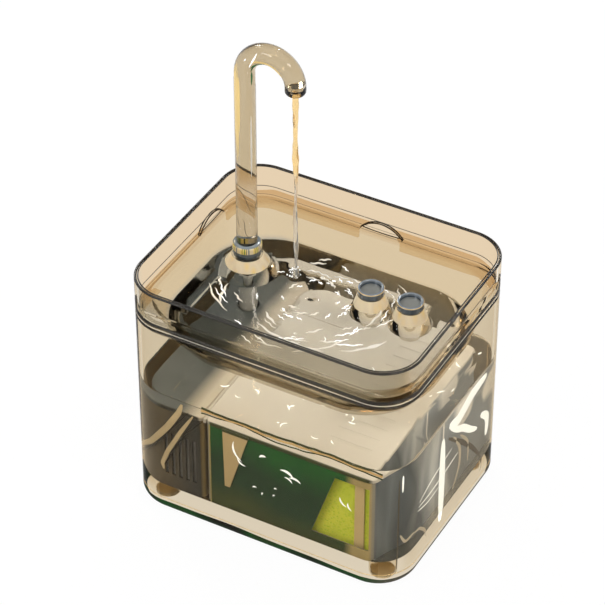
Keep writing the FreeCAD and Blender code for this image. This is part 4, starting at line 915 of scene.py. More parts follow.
def addTankWater():
    bite, rounding, floor = tankPool["bite"], tankPool["floorRound"], tankPool["floor"]
    halfWidth, halfDepth, radius = [size + bite for size in tankPool["form"]]
    layers = []
    for step in range(7):
        angle = math.radians(90 * step / 6)
        inset = rounding * (1 - math.sin(angle))
        rise = rounding * (1 - math.cos(angle))
        layers.append((halfWidth - inset, halfDepth - inset, radius - inset, floor - bite + rise))
    layers.append((halfWidth, halfDepth, radius, tankPool["level"] - tankPool["edgeDrop"]))
    mesh = waterBody("tankWater", layers, tankRipple, surfaceRings(100))
    linkPiece("tankWater", mesh, poolWater, "tank")


tubeWater = {
    "bore": 0.00455,
    "foot": 0.1215,
    "arch": 0.2685,
    "archRadius": 0.01725,
    "stop": 5.7,  # degrees short of the half circle
}


# The water that stands in the faucet's bore
def addTubeWater():
    foot, arch, radius = tubeWater["foot"], tubeWater["arch"], tubeWater["archRadius"]
    path = [Vector((boss.x, boss.y, foot + (arch - foot) * step / 40)) for step in range(40)]
    for step in range(49):
        angle = math.radians(180 - (180 - tubeWater["stop"]) * step / 48)
        x = boss.x + radius * (1 + math.cos(angle))
        path.append(Vector((x, boss.y, arch + radius * math.sin(angle))))
    mesh = tubeMesh("tubeWater", path, tubeWater["bore"], around=32)
    linkPiece("tubeWater", mesh, poolWater, "faucet")


addTrayWater()
addTankWater()
addTubeWater()
print("water poured into tray, tank and faucet")

pour = {
    "top": 0.2655,
    "foot": 0.1262,
    "widthTop": 0.00175,
    "widthFoot": 0.00125,
    "wander": 0.0004,
    # share of the fall, reach along it, and how much wider or narrower
    "swell": (0.30, 0.10, 0.30),
    "waist": (0.50, 0.06, -0.30),
    "flat": 0.22,
    "rings": 120,
    "around": 20,
    "goldFrom": 0.192,
    "goldTo": 0.208,
    "gold": (1.0, 0.74, 0.36),
    "pale": (0.93, 0.92, 0.90),
}


# Running water that looks golden under the nozzle and clear lower down; the golden tint is a painted
# reflection of the amber faucet
def streamMaterial():
    material, tree, out = newMaterial("streamWater")
    body = addNode(tree, "ShaderNodeBsdfPrincipled", (200, 100), IOR=1.333, Roughness=0.02)
    body.inputs["Transmission Weight"].default_value = 0.82
    rise = axisShare(tree, "Z", pour["goldFrom"], pour["goldTo"])
    joinSockets(tree, mixColours(tree, rise, pour["pale"], pour["gold"]), body.inputs["Base Color"])
    joinSockets(tree, body.outputs[0], out.inputs["Surface"])
    return material


# Wide at the nozzle, waisted below it, then in slow beads
def streamWidth(share):
    width = pour["widthTop"] + (pour["widthFoot"] - pour["widthTop"]) * min(1, share * 1.8) ** 0.6
    bulge = 1
    for middle, reach, more in (pour["swell"], pour["waist"]):
        bulge += more * math.exp(-(((share - middle) / reach) ** 2))
    width *= bulge
    width *= 1 + 0.16 * math.sin(share * 40) * share + 0.06 * math.sin(share * 91 + 1)
    return width * (1 + 5 * max(0.0, share - 0.96))


def addStream():
    shape = bmesh.new()
    loops = []
    for step in range(pour["rings"] + 1):
        share = step / pour["rings"]
        level = pour["top"] + (pour["foot"] - pour["top"]) * share
        width = streamWidth(share)
        offset = pour["wander"] * share
        centre = streamFoot + offset * Vector((math.sin(share * 17), math.cos(share * 13)))
        loop = []
        for turn in range(pour["around"]):
            angle = 2 * math.pi * turn / pour["around"]
            reach = width * (1 + pour["flat"] * math.cos(2 * (angle - share * 9)))
            spot = (centre.x + reach * math.cos(angle), centre.y + reach * math.sin(angle), level)
            loop.append(shape.verts.new(spot))
        loops.append(loop)
    bridgeLoops(shape, loops)
    shape.faces.new(loops[0])
    shape.faces.new(list(reversed(loops[-1])))
    stream = bpy.data.objects.new("waterStream", meshFrom(shape, "waterStream"))
    scene.collection.objects.link(stream)
    stream.data.materials.append(streamMaterial())
    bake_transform(stream)


addStream()
print("stream added")

# stands, collar and caps

standRefractionPaint = standRefractionMaterial()
stand = {
    "lift": 0.00012,
    "waterLine": 0.1262,
    "foot": 0.116,
    # foot radius, top radius, rise, and the heights that the painted refraction skin runs through above the
    # water
    "boss": (0.020, 0.0098, 0.017, (0.1285, 0.1305, 0.1329)),
    "post": (0.014, 0.00825, 0.018, (0.1285, 0.131, 0.1337)),
}


# A thin skin painted with refraction colours over the boss and the two overflow posts, above the water
def addStandRefractionSkins():
    places = [("bossRefractionSkin", "boss", boss.x)]
    places += [(f"postRefractionSkin{number}", "post", x) for number, x in enumerate(postPlaces)]
    for name, kind, x in places:
        foot, top, rise, levels = stand[kind]
        profile = []
        for level in (stand["waterLine"], *levels):
            radius = foot + (top - foot) * (level - stand["foot"]) / rise
            profile.append((radius + stand["lift"], level))
        linkPiece(name, turnedMesh(name, profile, x, boss.y), standRefractionPaint, "tray")


def circlePath(x, y, z, radius, count=72):
    angles = [2 * math.pi * step / count for step in range(count)]
    return [Vector((x + radius * math.cos(angle), y + radius * math.sin(angle), z)) for angle in angles]


capTrim = {
    # finish, radius, height, width
    "capGold": (goldEdgeReflectionPaint, 0.0080, 0.1382, 0.00042),
    "capPale": (edgeHighlightPaint, 0.0070, 0.1386, 0.00022),
}


# A painted golden highlight bead round each cap's upper edge and a painted pale highlight round its sunk
# middle
def addCapTrim():
    for side, x in zip(("left", "right"), postPlaces):
        for name, (finish, radius, level, width) in capTrim.items():
            bead = tubeMesh(name, circlePath(x, boss.y, level, radius), width, True)
            linkPiece(f"{name}_{side}", bead, finish, f"overflow_cap_{side}")


addStandRefractionSkins()
addCapTrim()
print("stands glazed and caps trimmed")

# painted dark and light edge lines of the clear plastic, where its edges bend light

edges = {
    # finish, body, inset, height, width, and whether it fades along the back and the left
    "outerRim": (edgeShadePaint, "tray", 0.00083, 0.16930, 0.00080, False),
    "innerRim": (edgeShadePaint, "tray", 0.0024, 0.16975, 0.00044, False),
    "footLine": (edgeShadePaint, "tray", 0.00098, 0.1472, 0.00095, True),
    "footGleam": (edgeHighlightPaint, "tray", 0.00022, 0.1456, 0.00018, True),
    "tankLine": (edgeShadePaint, "tank", 0.00074, 0.1434, 0.00072, True),
}
fading = {"front": -0.050, "right": 0.070, "over": 0.018, "least": 0.12}


# The tank's outline, drawn in by an inset
def insetOutline(inset, perCorner=24, perSide=4):
    halfWidth, halfDepth, radius = tankForm["halfWidth"], tankForm["halfDepth"], tankForm["radius"]
    return roundedOutline(halfWidth - inset, halfDepth - inset, radius - inset, perCorner, perSide)


def levelOutline(inset, level, perCorner=24, perSide=4):
    return [Vector((*point, level)) for point in insetOutline(inset, perCorner, perSide)]


# Full along the front and the right side, a hair line elsewhere
def fadedWidths(path, width):
    widths = []
    for point in path:
        front = (fading["front"] - point.y) / fading["over"]
        right = (point.x - fading["right"]) / fading["over"]
        share = max(0.0, min(1.0, max(front, right)))
        widths.append(width * (fading["least"] + (1 - fading["least"]) * share))
    return widths


def addRimLines():
    for name, (finish, body, inset, level, width, fades) in edges.items():
        path = levelOutline(inset, level, 24, 24)
        widths = fadedWidths(path, width) if fades else None
        linkPiece(name, tubeMesh(name, path, width, True, widths=widths), finish, body)


crestLine = {"inset": 0.0030, "level": 0.1551, "width": 0.00024, "front": -0.055}


# The way from the middle to a point, as an angle that grows without a break over the back
def angleRound(point):
    angle = math.atan2(point.y, point.x)
    return angle if point.x > 0 else angle % (2 * math.pi)


# A painted shade line along the bowl's upper edge, on the left, back and right walls
def addCrestLine():
    outline = levelOutline(crestLine["inset"], crestLine["level"], 24, 20)
    # from the right wall, over the back, to the left wall
    path = sorted((point for point in outline if point.y > crestLine["front"]), key=angleRound)
    linkPiece("crestLine", tubeMesh("crestLine", path, crestLine["width"]), softEdgeShadePaint, "tray")


notch = {
    "width": 0.029,
    "height": 0.0073,
    "sill": 0.1453,
    "line": 0.00045,
    "sag": 0.0006,
    # middle, outer and inner face, and whether it lies in the back wall
    "cordNotch": (0.0045, (0.0745, 0.0729), True),
    "fingerNotch": (0.0315, (-0.0945, -0.0929), False),
}


# The arch of a notch on one face of the wall
def archPath(middle, face, alongX):
    half, rise = notch["width"] / 2, notch["height"]
    radius = (half * half + rise * rise) / (2 * rise)
    centre = notch["sill"] + rise - radius
    reach = math.asin(half / radius)
    path = []
    for step in range(33):
        angle = -reach + 2 * reach * step / 32
        across, level = middle + radius * math.sin(angle), centre + radius * math.cos(angle)
        path.append(Vector((across, face, level)) if alongX else Vector((face, across, level)))
    return path


# Painted shade lines round the arch and the sill of each notch
def addNotchLines():
    line = notch["line"]
    for name in ("cordNotch", "fingerNotch"):
        middle, faces, alongX = notch[name]
        outer, inner = [archPath(middle, face, alongX) for face in faces]
        arch = tubeMesh(name, outer + list(reversed(inner)), line, True)
        linkPiece(name + "Outer", arch, edgeShadePaint, "tray")
        # the sill sags a little, so that it closes the arch to an oval
        sill = []
        for step in range(25):
            spot = outer[0].lerp(outer[-1], step / 24)
            spot.z -= notch["sag"] * math.sin(math.pi * step / 24)
            sill.append(spot)
        linkPiece(name + "Sill", tubeMesh(name + "Sill", sill, line * 0.8), edgeShadePaint, "tray")


baseBand = {
    "rounding": 0.007,
    "bottom": 0.0012,
    "wallTop": 0.0082,
    "wallSway": 0.0016,
    "swayScale": 24,
    "sideDrop": 0.0022,
    "sideStart": 0.074,
    "sideOver": 0.018,
    "sideShade": (0.070, 0.090),
    "goldRise": 0.0022,
    "goldInset": 0.00026,
    "goldWidth": 0.00022,
    "end": 68,  # degrees round the foot rounding
    "steps": 8,
    "skin": 0.00003,  # how far it lies under the tank's surface
    "dark": (0.012, 0.010, 0.008),
    "green": (0.010, 0.055, 0.012),
    "olive": (0.03, 0.03, 0.012),
    "side": (0.09, 0.08, 0.06),
}


def baseMaterial():
    material, tree, out = newMaterial("baseShade")
    body = addNode(tree, "ShaderNodeBsdfPrincipled", (500, 0), Roughness=0.6)
    body.inputs["Specular IOR Level"].default_value = 0.05
    cloud = placedNoise(tree, 22, 2)
    steps = ((0.35, "dark"), (0.5, "green"), (0.7, "olive"))
    ramp = rampNode(tree, [(place, baseBand[shade]) for place, shade in steps])
    joinSockets(tree, cloud.outputs["Fac"], ramp.inputs["Fac"])
    share = axisShare(tree, "X", *baseBand["sideShade"])
    shade = mixColours(tree, share, ramp.outputs["Color"], baseBand["side"])
    joinSockets(tree, shade, body.inputs["Base Color"])
    joinSockets(tree, body.outputs[0], out.inputs["Surface"])
    return material


# The painted dark reflection band under the tank's foot rounding, with a painted golden reflection line above
# it
def addBaseBand():
    shape = bmesh.new()
    rounding, skin = baseBand["rounding"], baseBand["skin"]
    crest = []
    for point in insetOutline(skin, perSide=40):
        rise = sway(point.x, point.y, baseBand["swayScale"], 8.3)
        # lower along the right side
        share = max(0.0, min(1.0, (point.x - baseBand["sideStart"]) / baseBand["sideOver"]))
        level = baseBand["wallTop"] + baseBand["wallSway"] * rise - baseBand["sideDrop"] * share
        crest.append(shape.verts.new((*point, level)))
    loops = [crest]
    for step in range(baseBand["steps"] + 1):
        angle = math.radians(baseBand["end"] * step / baseBand["steps"])
        level = max(rounding * (1 - math.sin(angle)) + skin, baseBand["bottom"])
        outline = insetOutline(rounding * (1 - math.cos(angle)) + skin, perSide=40)
        loops.append([shape.verts.new((*point, level)) for point in outline])
    bridgeLoops(shape, loops)
    linkPiece("baseShade", meshFrom(shape, "baseShade"), baseMaterial(), "tank")
    path = levelOutline(baseBand["goldInset"], baseBand["wallTop"] + baseBand["goldRise"])
    gold = tubeMesh("baseGold", path, baseBand["goldWidth"], True)
    linkPiece("baseGold", gold, goldEdgeReflectionPaint, "tank")


screen = {
    "level": 0.0818,
    "middle": 0.0497,
    "wide": 0.029,
    "deep": 0.104,
    "sway": 0.00012,
    "swayScale": 900,
    "colour": (0.70, 0.69, 0.67),
}


# Pale fleece behind the lid's inlets
def addInletScreen():
    shape = bmesh.new()
    bmesh.ops.create_grid(shape, x_segments=30, y_segments=110, size=0.5)
    for vert in shape.verts:
        vert.co.x = screen["middle"] + vert.co.x * screen["wide"]
        vert.co.y = vert.co.y * screen["deep"]
        rise = sway(vert.co.x, vert.co.y, screen["swayScale"], 0)
        vert.co.z = screen["level"] + screen["sway"] * rise
    fleece = plasticMaterial("paleFleece", screen["colour"], 0.8, 1600, 0.0001, 0.06)
    linkPiece("inletScreen", meshFrom(shape, "inletScreen"), fleece, "filter_lid")


wallStrokes = {"thick": 0.00015, "taper": 0.35, "slides": 400, "slide": 0.00005}


# The way from the tank's core to a point near its wall
def wallOutward(point):
    coreX, coreY = [tankForm[side] - tankForm["radius"] for side in ("halfWidth", "halfDepth")]
    overX = math.copysign(max(0.0, abs(point.x) - coreX), point.x)
    overY = math.copysign(max(0.0, abs(point.y) - coreY), point.y)
    return Vector((overX, overY, 0))


# Slides a point along the line of sight until it lies inside the tank's round corner
def ontoWall(point, inset):
    sight = (point - Vector(view["place"])).normalized()
    for _ in range(wallStrokes["slides"]):
        if wallOutward(point).length <= tankForm["radius"] - inset:
            break
        point = point + sight * wallStrokes["slide"]
    return point


# A thin stroke on a surface, tapered at both ends; across is its way up, for all points or one for each
def strokeMesh(shape, path, width, thick, across, taper=0.7):
    loops = []
    last = len(path) - 1
    for step, point in enumerate(path):
        share = step / last
        reach = width * max(0.05, math.sin(math.pi * share)) ** taper
        along = (path[min(step + 1, last)] - path[max(step - 1, 0)]).normalized()
        upward = across[step] if isinstance(across, list) else across
        side = upward.cross(along).normalized()
        loop = []
        for turn in range(8):
            angle = turn * math.pi / 4
            spot = point + side * reach * math.cos(angle) + upward * thick * math.sin(angle)
            loop.append(shape.verts.new(spot))
        loops.append(loop)
    bridgeLoops(shape, loops)
    closeEnds(shape, loops)


# A stroke that lies flat along the tank's wall, also round its corners
def wallStroke(shape, path, width):
    across = [wallOutward(point).normalized() for point in path]
    strokeMesh(shape, path, width, wallStrokes["thick"], across, wallStrokes["taper"])


glintFinish = {
    # colour and glow; those behind the wall are bluer and stronger, to come through its tint
    "glintWhite": ((1.0, 1.0, 1.0), 0.45),
    "glintWall": ((0.82, 0.90, 1.0), 0.95),
    "soft": (0.74, 0.70, 0.62),
}


def glintMaterial(name):
    colour, glow = glintFinish[name]
    material = plasticMaterial(name, colour, 0.2, mottle=0.02)
    body = material.node_tree.nodes["Principled BSDF"]
    body.inputs["Emission Color"].default_value = (*colour, 1)
    body.inputs["Emission Strength"].default_value = glow
    return material


glintWhite = glintMaterial("glintWhite")
glintWall = glintMaterial("glintWall")
glintSoft = plasticMaterial("glintSoft", glintFinish["soft"], 0.3, mottle=0.08)

trayGlints = {
    "level": 0.1274,
    "centre": (-0.014, 0.0163),
    "bright": 44,
    "soft": 40,
    "near": 0.010,
    "far": 0.056,
    "width": 0.00052,
    "thick": 0.00025,
    "span": (0.08, 0.34),
    "tilt": (-0.5, 0.5),
    "widths": (0.45, 1.1),
    "stretch": 1.15,
    "leftEnd": -0.03,
    "leftShare": 0.25,
    "poolHalf": (0.080, 0.054),
    "bossFree": 0.018,
    "postFree": 0.0125,
    "seed": 11,
}


# Painted glints: bright and soft highlight strokes in arcs round the place where the water lands
def addTrayGlints():
    centre, near, far = Vector(trayGlints["centre"]), trayGlints["near"], trayGlints["far"]
    source = random.Random(trayGlints["seed"])
    for name, count, material, wider in (
        ("brightRippleGlints", trayGlints["bright"], glintWhite, 1.0),
        ("softRippleGlints", trayGlints["soft"], glintSoft, 1.7),
    ):
        shape = bmesh.new()
        made = 0
        while made < count:
            reach = near + (far - near) * source.random() ** 0.8
            start = source.uniform(-math.pi, math.pi)
            span = source.uniform(*trayGlints["span"]) * wider
            turn = source.uniform(*trayGlints["tilt"])
            wave = source.uniform(0, 6)
            width = trayGlints["width"] * source.uniform(*trayGlints["widths"]) * wider
            path = []
            for step in range(13):
                angle = start + span * (step / 12 - 0.5)
                away = reach * (1 + turn * span * (step / 12 - 0.5)) + 0.0004 * math.sin(wave + step)
                spot = centre + away * Vector((trayGlints["stretch"] * math.cos(angle), math.sin(angle)))
                path.append(Vector((spot.x, spot.y, trayGlints["level"])))
            middle = path[6]
            inside = abs(middle.x) < trayGlints["poolHalf"][0] and abs(middle.y) < trayGlints["poolHalf"][1]
            toPost = min((middle.xy - Vector((x, boss.y))).length for x in postPlaces)
            dry = (middle.xy - boss).length < trayGlints["bossFree"] or toPost < trayGlints["postFree"]
            # fewer at the left end
            wanted = middle.x > trayGlints["leftEnd"] or source.random() < trayGlints["leftShare"]
            if dry or not (inside and wanted):
                continue
            strokeMesh(shape, path, width, trayGlints["thick"], Vector((0, 0, 1)))
            made += 1
        linkPiece(name, meshFrom(shape, name), material, "tray")


tankGlints = {
    "level": 0.0936,
    "bright": 34,
    "width": 0.00045,
    "thick": 0.0003,
    "seed": 5,
    # taken in turn: the right side, the front, and the middle
    "zones": [
        ((0.062, 0.084), (-0.02, 0.060)),
        ((-0.03, 0.07), (-0.066, -0.035)),
        ((-0.04, 0.08), (-0.05, 0.02)),
    ],
}


# Small painted glints on the tank's water, most of them under the tray's front and right side
def addTankGlints():
    source = random.Random(tankGlints["seed"])
    shape = bmesh.new()
    for number in range(tankGlints["bright"]):
        x, y = [source.uniform(*span) for span in tankGlints["zones"][number % 3]]
        turn = source.uniform(0, math.pi)
        length = source.uniform(0.0012, 0.0055)
        bend = source.uniform(-0.3, 0.3)
        path = []
        for step in range(11):
            share = step / 10 - 0.5
            along = Vector((math.cos(turn), math.sin(turn))) * length * share
            aside = Vector((-math.sin(turn), math.cos(turn))) * length * bend * (0.25 - share * share) * 4
            path.append(Vector((x + along.x + aside.x, y + along.y + aside.y, tankGlints["level"])))
        width = tankGlints["width"] * source.uniform(0.6, 1.6)
        strokeMesh(shape, path, width, tankGlints["thick"], Vector((0, 0, 1)))
    linkPiece("tankRippleGlints", meshFrom(shape, "tankRippleGlints"), glintWall, "tank")


frontGlints = {
    "face": -0.0714,
    "thick": 0.0002,
    "strokes": [
        # along the wall, height, length, lean, width
        (-0.016, 0.0690, 0.0150, 1.95, 0.00075),
        (-0.0135, 0.0615, 0.0070, 2.5, 0.0007),
        (0.0014, 0.0720, 0.0050, 0.4, 0.0009),
        (0.0180, 0.0655, 0.0095, -0.35, 0.0011),
        (0.0235, 0.0625, 0.0080, -0.15, 0.0009),
        (0.0190, 0.0610, 0.0060, -0.5, 0.0007),
        (-0.0045, 0.0450, 0.0030, 0.3, 0.0006),
        (0.0010, 0.0420, 0.0022, 1.2, 0.0005),
        (0.0090, 0.0440, 0.0020, 0.8, 0.0005),
        (0.0565, 0.0600, 0.0075, 2.2, 0.0007),
        (0.0610, 0.0580, 0.0060, 2.0, 0.0006),
        (0.0100, 0.0500, 0.0018, 0.2, 0.0005),
    ],
}


# White glints on the wet front wall
def addFrontGlints():
    shape = bmesh.new()
    for x, z, length, lean, width in frontGlints["strokes"]:
        path = []
        for step in range(13):
            share = step / 12 - 0.5
            bow = 0.18 * length * (0.25 - share * share) * 4
            path.append(Vector((
                x + math.cos(lean) * length * share - math.sin(lean) * bow,
                frontGlints["face"],
                z + math.sin(lean) * length * share + math.cos(lean) * bow,
            )))
        strokeMesh(shape, path, width, frontGlints["thick"], Vector((0, 1, 0)))
    linkPiece("frontGlints", meshFrom(shape, "frontGlints"), glintWall, "tank")


waterline = {
    "front": -0.0712,
    "inset": 0.0040,
    "level": 0.0925,
    "start": -0.041,
    "end": 0.082,
    "sway": 0.0016,
    "steps": 90,
    "olive": (0.030, 0.045, 0.012),
    "deep": (0.016, 0.050, 0.012),
    # width, and the drop below the water's edge
    "waterlineDark": (0.00060, 0.0),
    "waterlineGold": (0.00080, 0.0014),
    "waterlineLow": (0.00050, 0.0030),
}


# Painted refraction lines: the dark and golden wavy lines where the tank's water meets the front wall
def addWaterline():
    start, end, rough, steps = [waterline[key] for key in ("start", "end", "sway", "steps")]
    for name, material in (
        ("waterlineDark", plasticMaterial("oliveShade", waterline["olive"], 0.4, mottle=0.3)),
        ("waterlineGold", goldEdgeReflectionPaint),
        ("waterlineLow", plasticMaterial("oliveDeep", waterline["deep"], 0.4, mottle=0.3)),
    ):
        width, drop = waterline[name]
        path = []
        for step in range(steps + 1):
            x = start + (end - start) * step / steps
            lift = rough * noise.noise(Vector((x * 42, 0.3, 2.2)))
            lift += 0.4 * rough * noise.noise(Vector((x * 150, drop * 900, 1.2)))
            level = waterline["level"] + lift - drop * (1 + 0.4 * math.sin(x * 90))
            path.append(ontoWall(Vector((x, waterline["front"], level)), waterline["inset"]))
        linkPiece(name, tubeMesh(name, path, width), material, "tank")


leftStreaks = {
    "face": -0.0712,
    "inset": 0.0046,
    "cream": (0.66, 0.55, 0.36),
    "bands": [
        # width, finish, points along the wall and up it
        (0.0021, "cream",
         [(-0.0545, 0.0905), (-0.0570, 0.0830), (-0.0650, 0.0690), (-0.0770, 0.0520), (-0.0850, 0.0450)]),
        (0.0015, "cream",
         [(-0.0470, 0.0840), (-0.0560, 0.0680), (-0.0660, 0.0480), (-0.0700, 0.0370), (-0.0690, 0.0320)]),
        (0.0005, "dark", [(-0.0500, 0.0860), (-0.0600, 0.0720), (-0.0740, 0.0510), (-0.0850, 0.0400)]),
        (0.0005, "dark",
         [(-0.0400, 0.0830), (-0.0510, 0.0700), (-0.0620, 0.0510), (-0.0670, 0.0390), (-0.0650, 0.0330)]),
    ],
}


# Bent reflections beside the filter housing
def addLeftStreaks():
    cream = plasticMaterial("streakCream", leftStreaks["cream"], 0.3, mottle=0.25)
    finishNames = {"cream": cream, "dark": edgeShadePaint}
    for number, (width, finish, points) in enumerate(leftStreaks["bands"]):
        path = []
        for first, second in zip(points, points[1:]):
            for step in range(12):
                x, z = Vector(first).lerp(Vector(second), step / 12)
                path.append(ontoWall(Vector((x, leftStreaks["face"], z)), leftStreaks["inset"]))
        name = f"leftStreak{number}"
        shape = bmesh.new()
        wallStroke(shape, path, width)
        linkPiece(name, meshFrom(shape, name), finishNames[finish], "tank")


rightGlints = {
    "face": 0.0914,
    "inset": 0.0036,
    "white": [
        # width, points along the wall and up it
        (0.00400, [(-0.0123, 0.0790), (-0.0121, 0.0450), (-0.0120, 0.0120)]),
        (0.00480,
         [(-0.0041, 0.0835), (0.0060, 0.0800), (0.0136, 0.0815), (0.0284, 0.0860), (0.0464, 0.0870)]),
        (0.00260,
         [(-0.0020, 0.0800), (0.0080, 0.0720), (0.0162, 0.0668), (0.0260, 0.0580), (0.0356, 0.0512)]),
        (0.00300, [(0.0405, 0.0589), (0.0497, 0.0502), (0.0497, 0.0353)]),
        (0.00070, [(-0.0632, 0.0900), (-0.0633, 0.0840), (-0.0634, 0.0770)]),
        (0.00060, [(-0.0419, 0.0515), (-0.0300, 0.0560), (-0.0185, 0.0588), (0.0002, 0.0621)]),
        (0.00060, [(-0.0431, 0.0484), (-0.0280, 0.0480), (-0.0124, 0.0492), (0.0092, 0.0519)]),
        (0.00045, [(-0.0440, 0.0460), (-0.0300, 0.0430), (-0.0120, 0.0440)]),
    ],
    "soft": [
        (0.00110,
         [(-0.0651, 0.0434), (-0.0600, 0.0350), (-0.0567, 0.0324), (-0.0500, 0.0320), (-0.0474, 0.0313)]),
        (0.00110,
         [(-0.0474, 0.0313), (-0.0420, 0.0300), (-0.0379, 0.0268), (-0.0330, 0.0210), (-0.0319, 0.0151)]),
        (0.00160, [(0.0020, 0.0700), (0.0110, 0.0560), (0.0120, 0.0400), (0.0040, 0.0260)]),
        (0.00120, [(0.0120, 0.0640), (0.0230, 0.0500), (0.0240, 0.0340)]),
    ],
    "dark": [
        (0.00180, [(-0.0047, 0.0740), (0.0150, 0.0560), (0.0300, 0.0400), (0.0422, 0.0235)]),
        (0.00050, [(-0.0680, 0.0900), (-0.0682, 0.0500), (-0.0684, 0.0180)]),
    ],
}


# A smooth run through points, by the rule that each stretch leaves in line with its neighbours
def throughPoints(points, perStep=10):
    count = len(points)
    path = []
    for number in range(count - 1):
        before = Vector(points[max(number - 1, 0)])
        first, second = Vector(points[number]), Vector(points[number + 1])
        after = Vector(points[min(number + 2, count - 1)])
        bend = 2 * before - 5 * first + 4 * second - after
        twist = 3 * first - before - 3 * second + after
        for step in range(perStep):
            share = step / perStep
            spot = 2 * first + (second - before) * share + bend * share * share + twist * share ** 3
            path.append(0.5 * spot)
    path.append(Vector(points[-1]))
    return path


# The bright and dark reflections on the wet right wall
def addRightGlints():
    for name, material in (("white", glintWall), ("soft", glintSoft), ("dark", softEdgeShadePaint)):
        shape = bmesh.new()
        for width, points in rightGlints[name]:
            spots = [Vector((rightGlints["face"], spot.x, spot.y)) for spot in throughPoints(points)]
            wallStroke(shape, [ontoWall(spot, rightGlints["inset"]) for spot in spots], width)
        piece = f"rightReflections_{name}"
        linkPiece(piece, meshFrom(shape, piece), material, "tank")


gapSeal = {
    "middle": -0.0410,
    "half": 0.00090,
    "deep": 0.0655,
    "top": 0.0818,
    "drop": 0.0030,
    "round": 0.0003,
    "colour": (0.62, 0.60, 0.56),
}


# A pale strip that fills the gap between the chamber and the filter housing
def addGapSeal():
    drop, edge = gapSeal["drop"], gapSeal["round"]
    section = ((-1, -drop), (1, -drop), (1, -edge), (0.5, 0.0), (-0.5, 0.0), (-1, -edge))
    shape = bmesh.new()
    loops = []
    for step in range(41):
        y = gapSeal["deep"] * (step / 20 - 1)
        loop = []
        for side, fall in section:
            spot = (gapSeal["middle"] + side * gapSeal["half"], y, gapSeal["top"] + fall)
            loop.append(shape.verts.new(spot))
        loops.append(loop)
    bridgeLoops(shape, loops)
    shape.faces.new(loops[0])
    shape.faces.new(list(reversed(loops[-1])))
    pale = plasticMaterial("sealPale", gapSeal["colour"], 0.6)
    linkPiece("gapSeal", meshFrom(shape, "gapSeal", 40), pale, "tank")


tubeLook = {
    "radius": 0.00652,
    "arch": 0.2685,
    "bend": 0.01725,
    "gold": (0.84, 0.60, 0.22),
    "green": (0.015, 0.110, 0.020),
}


# A point on the faucet's skin: how far along it runs, and the angle round it
def onTube(rise, angle):
    radius = tubeLook["radius"]
    if rise <= tubeLook["arch"]:
        return Vector((boss.x + radius * math.cos(angle), boss.y + radius * math.sin(angle), rise))
    turned = (rise - tubeLook["arch"]) / tubeLook["bend"]
    centre = Vector((boss.x + tubeLook["bend"], boss.y, tubeLook["arch"]))
    outward = Vector((-math.cos(turned), 0, math.sin(turned)))
    middle = centre + outward * tubeLook["bend"]
    return middle - outward * radius * math.cos(angle) + Vector((0, 1, 0)) * radius * math.sin(angle)


tubeStrokes = [
    # finish, width, thickness, points as height along the tube and degrees round it
    ("gold", 0.00075, 0.00004, [(0.2230, -130), (0.2450, -130), (0.2600, -131), (0.2740, -134)]),
    ("gold", 0.00075, 0.00004, [(0.2130, -121), (0.2400, -121), (0.2600, -122), (0.2760, -125)]),
    ("gold", 0.00075, 0.00004, [(0.2060, -112), (0.2350, -112), (0.2600, -113), (0.2750, -115)]),
    ("gold", 0.00075, 0.00004, [(0.2100, -103), (0.2350, -103), (0.2600, -103), (0.2720, -104)]),
    ("gold", 0.00070, 0.00004, [(0.2280, -94), (0.2450, -94), (0.2600, -94), (0.2680, -95)]),
    ("gold", 0.00120, 0.00004, [(0.2830, -70), (0.2950, -66), (0.3060, -60), (0.3120, -58)]),
    ("dark", 0.00030, 0.00006, [(0.1440, -150), (0.2000, -150), (0.2650, -150)]),
    ("dark", 0.00028, 0.00006, [(0.1440, 28), (0.2000, 28), (0.2600, 28)]),
    ("dark", 0.00022, 0.00006,
     [(0.1850, -148), (0.1838, -120), (0.1850, -100), (0.1800, -70), (0.1700, -40), (0.1660, -10)]),
    ("dark", 0.00020, 0.00006, [(0.1640, -85), (0.1600, -72), (0.1545, -70), (0.1500, -55), (0.1485, -35)]),
    ("dark", 0.00020, 0.00006, [(0.1620, -120), (0.1590, -110), (0.1560, -104)]),
    ("green", 0.00070, 0.00005, [(0.2620, -22), (0.2680, -20), (0.2740, -24)]),
    ("green", 0.00080, 0.00005, [(0.2740, -30), (0.2820, -36), (0.2900, -32), (0.2980, -30)]),
    ("green", 0.00050, 0.00005, [(0.2780, -44), (0.2860, -46), (0.2940, -44)]),
    ("white", 0.00050, 0.00006, [(0.2790, -54), (0.2850, -72), (0.2890, -95), (0.2910, -120)]),
    ("white", 0.00035, 0.00006, [(0.2810, -100), (0.2830, -104)]),
    ("soft", 0.00060, 0.00004, [(0.1950, -30), (0.2150, -28), (0.2400, -28)]),
]


# Golden, green, dark and white reflections that run along the faucet
def addTubeLook():
    finishNames = {
        "gold": plasticMaterial("tubeGold", tubeLook["gold"], 0.25, mottle=0.1),
        "green": plasticMaterial("tubeGreen", tubeLook["green"], 0.3, mottle=0.4),
        "dark": edgeShadePaint,
        "white": glintWhite,
        "soft": glintSoft,
    }
    shapes = {name: bmesh.new() for name in finishNames}
    for finish, width, thick, points in tubeStrokes:
        path, outward = [], []
        for rise, degrees in throughPoints(points, 8):
            angle = math.radians(degrees)
            spot = onTube(rise, angle)
            path.append(spot)
            outward.append(spot - onTube(rise, angle + math.pi))
        middle = outward[len(outward) // 2].normalized()
        strokeMesh(shapes[finish], path, width, thick, middle)
    for finish, shape in shapes.items():
        name = f"tubeLook_{finish}"
        linkPiece(name, meshFrom(shape, name), finishNames[finish], "faucet")


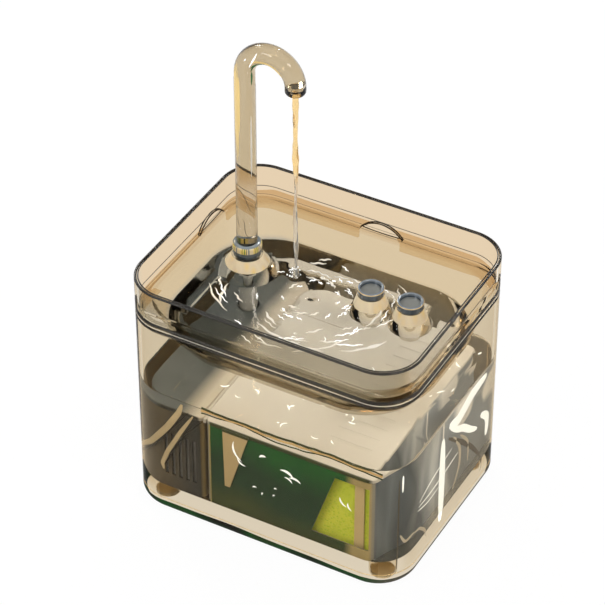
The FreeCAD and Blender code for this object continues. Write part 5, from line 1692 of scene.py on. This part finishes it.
splash = {
    "level": 0.1268,
    "reach": 0.0026,
    "height": 0.0030,
    "foot": 0.0006,
    # shares of the reach and of the height, up the outside and down the inside
    "lip": [(0.85, 0.4), (1.05, 1), (0.92, 0.95), (0.66, 0.35), (0.3, 0)],
    "drops": 12,
    "dropAway": (0.0022, 0.0062),
    "dropRise": (0.0005, 0.0055),
    "dropSize": (0.00025, 0.0006),
    "seed": 3,
}


# A low crown of water and a few drops where the stream lands
def addSplash():
    x, y = streamFoot
    level, reach, height = splash["level"], splash["reach"], splash["height"]

    def crown(angle, z):
        return 1 + 0.16 * math.sin(5 * angle + 0.7) * (z - level) / height

    profile = [(reach * 0.62, level - splash["foot"])]
    profile += [(reach * wide, level + height * rise) for wide, rise in splash["lip"]]
    mesh = turnedMesh("splashCrown", profile, x, y, 64, True, crown)
    linkPiece("splashCrown", mesh, poolWater, "faucet_collar")
    source = random.Random(splash["seed"])
    shape = bmesh.new()
    for _ in range(splash["drops"]):
        angle, away = source.uniform(0, 2 * math.pi), source.uniform(*splash["dropAway"])
        lift = level + source.uniform(*splash["dropRise"])
        centre = Vector((x + away * math.cos(angle), y + away * math.sin(angle), lift))
        size = source.uniform(*splash["dropSize"])
        loops = []
        for ring in range(1, 8):
            turn = math.pi * ring / 8
            # drawn out at the top
            rise = -size * math.cos(turn) * (1.5 if ring > 4 else 1.0)
            radius = size * math.sin(turn) * (0.8 if ring > 4 else 1.0)
            ringPath = circlePath(centre.x, centre.y, centre.z + rise, radius, 12)
            loops.append([shape.verts.new(spot) for spot in ringPath])
        bridgeLoops(shape, loops)
        closeEnds(shape, loops)
    # the drops take the glowing white of a painted highlight
    linkPiece("splashDrops", meshFrom(shape, "splashDrops"), glintWhite, "faucet_collar")


addTrayGlints()
addTankGlints()
addFrontGlints()
addWaterline()
addLeftStreaks()
addRightGlints()
addGapSeal()
addTubeLook()
addSplash()
print("glints, waterline and splash added")
addRimLines()
addCrestLine()
addNotchLines()
addBaseBand()
addInletScreen()
print("edge lines and base band laid")
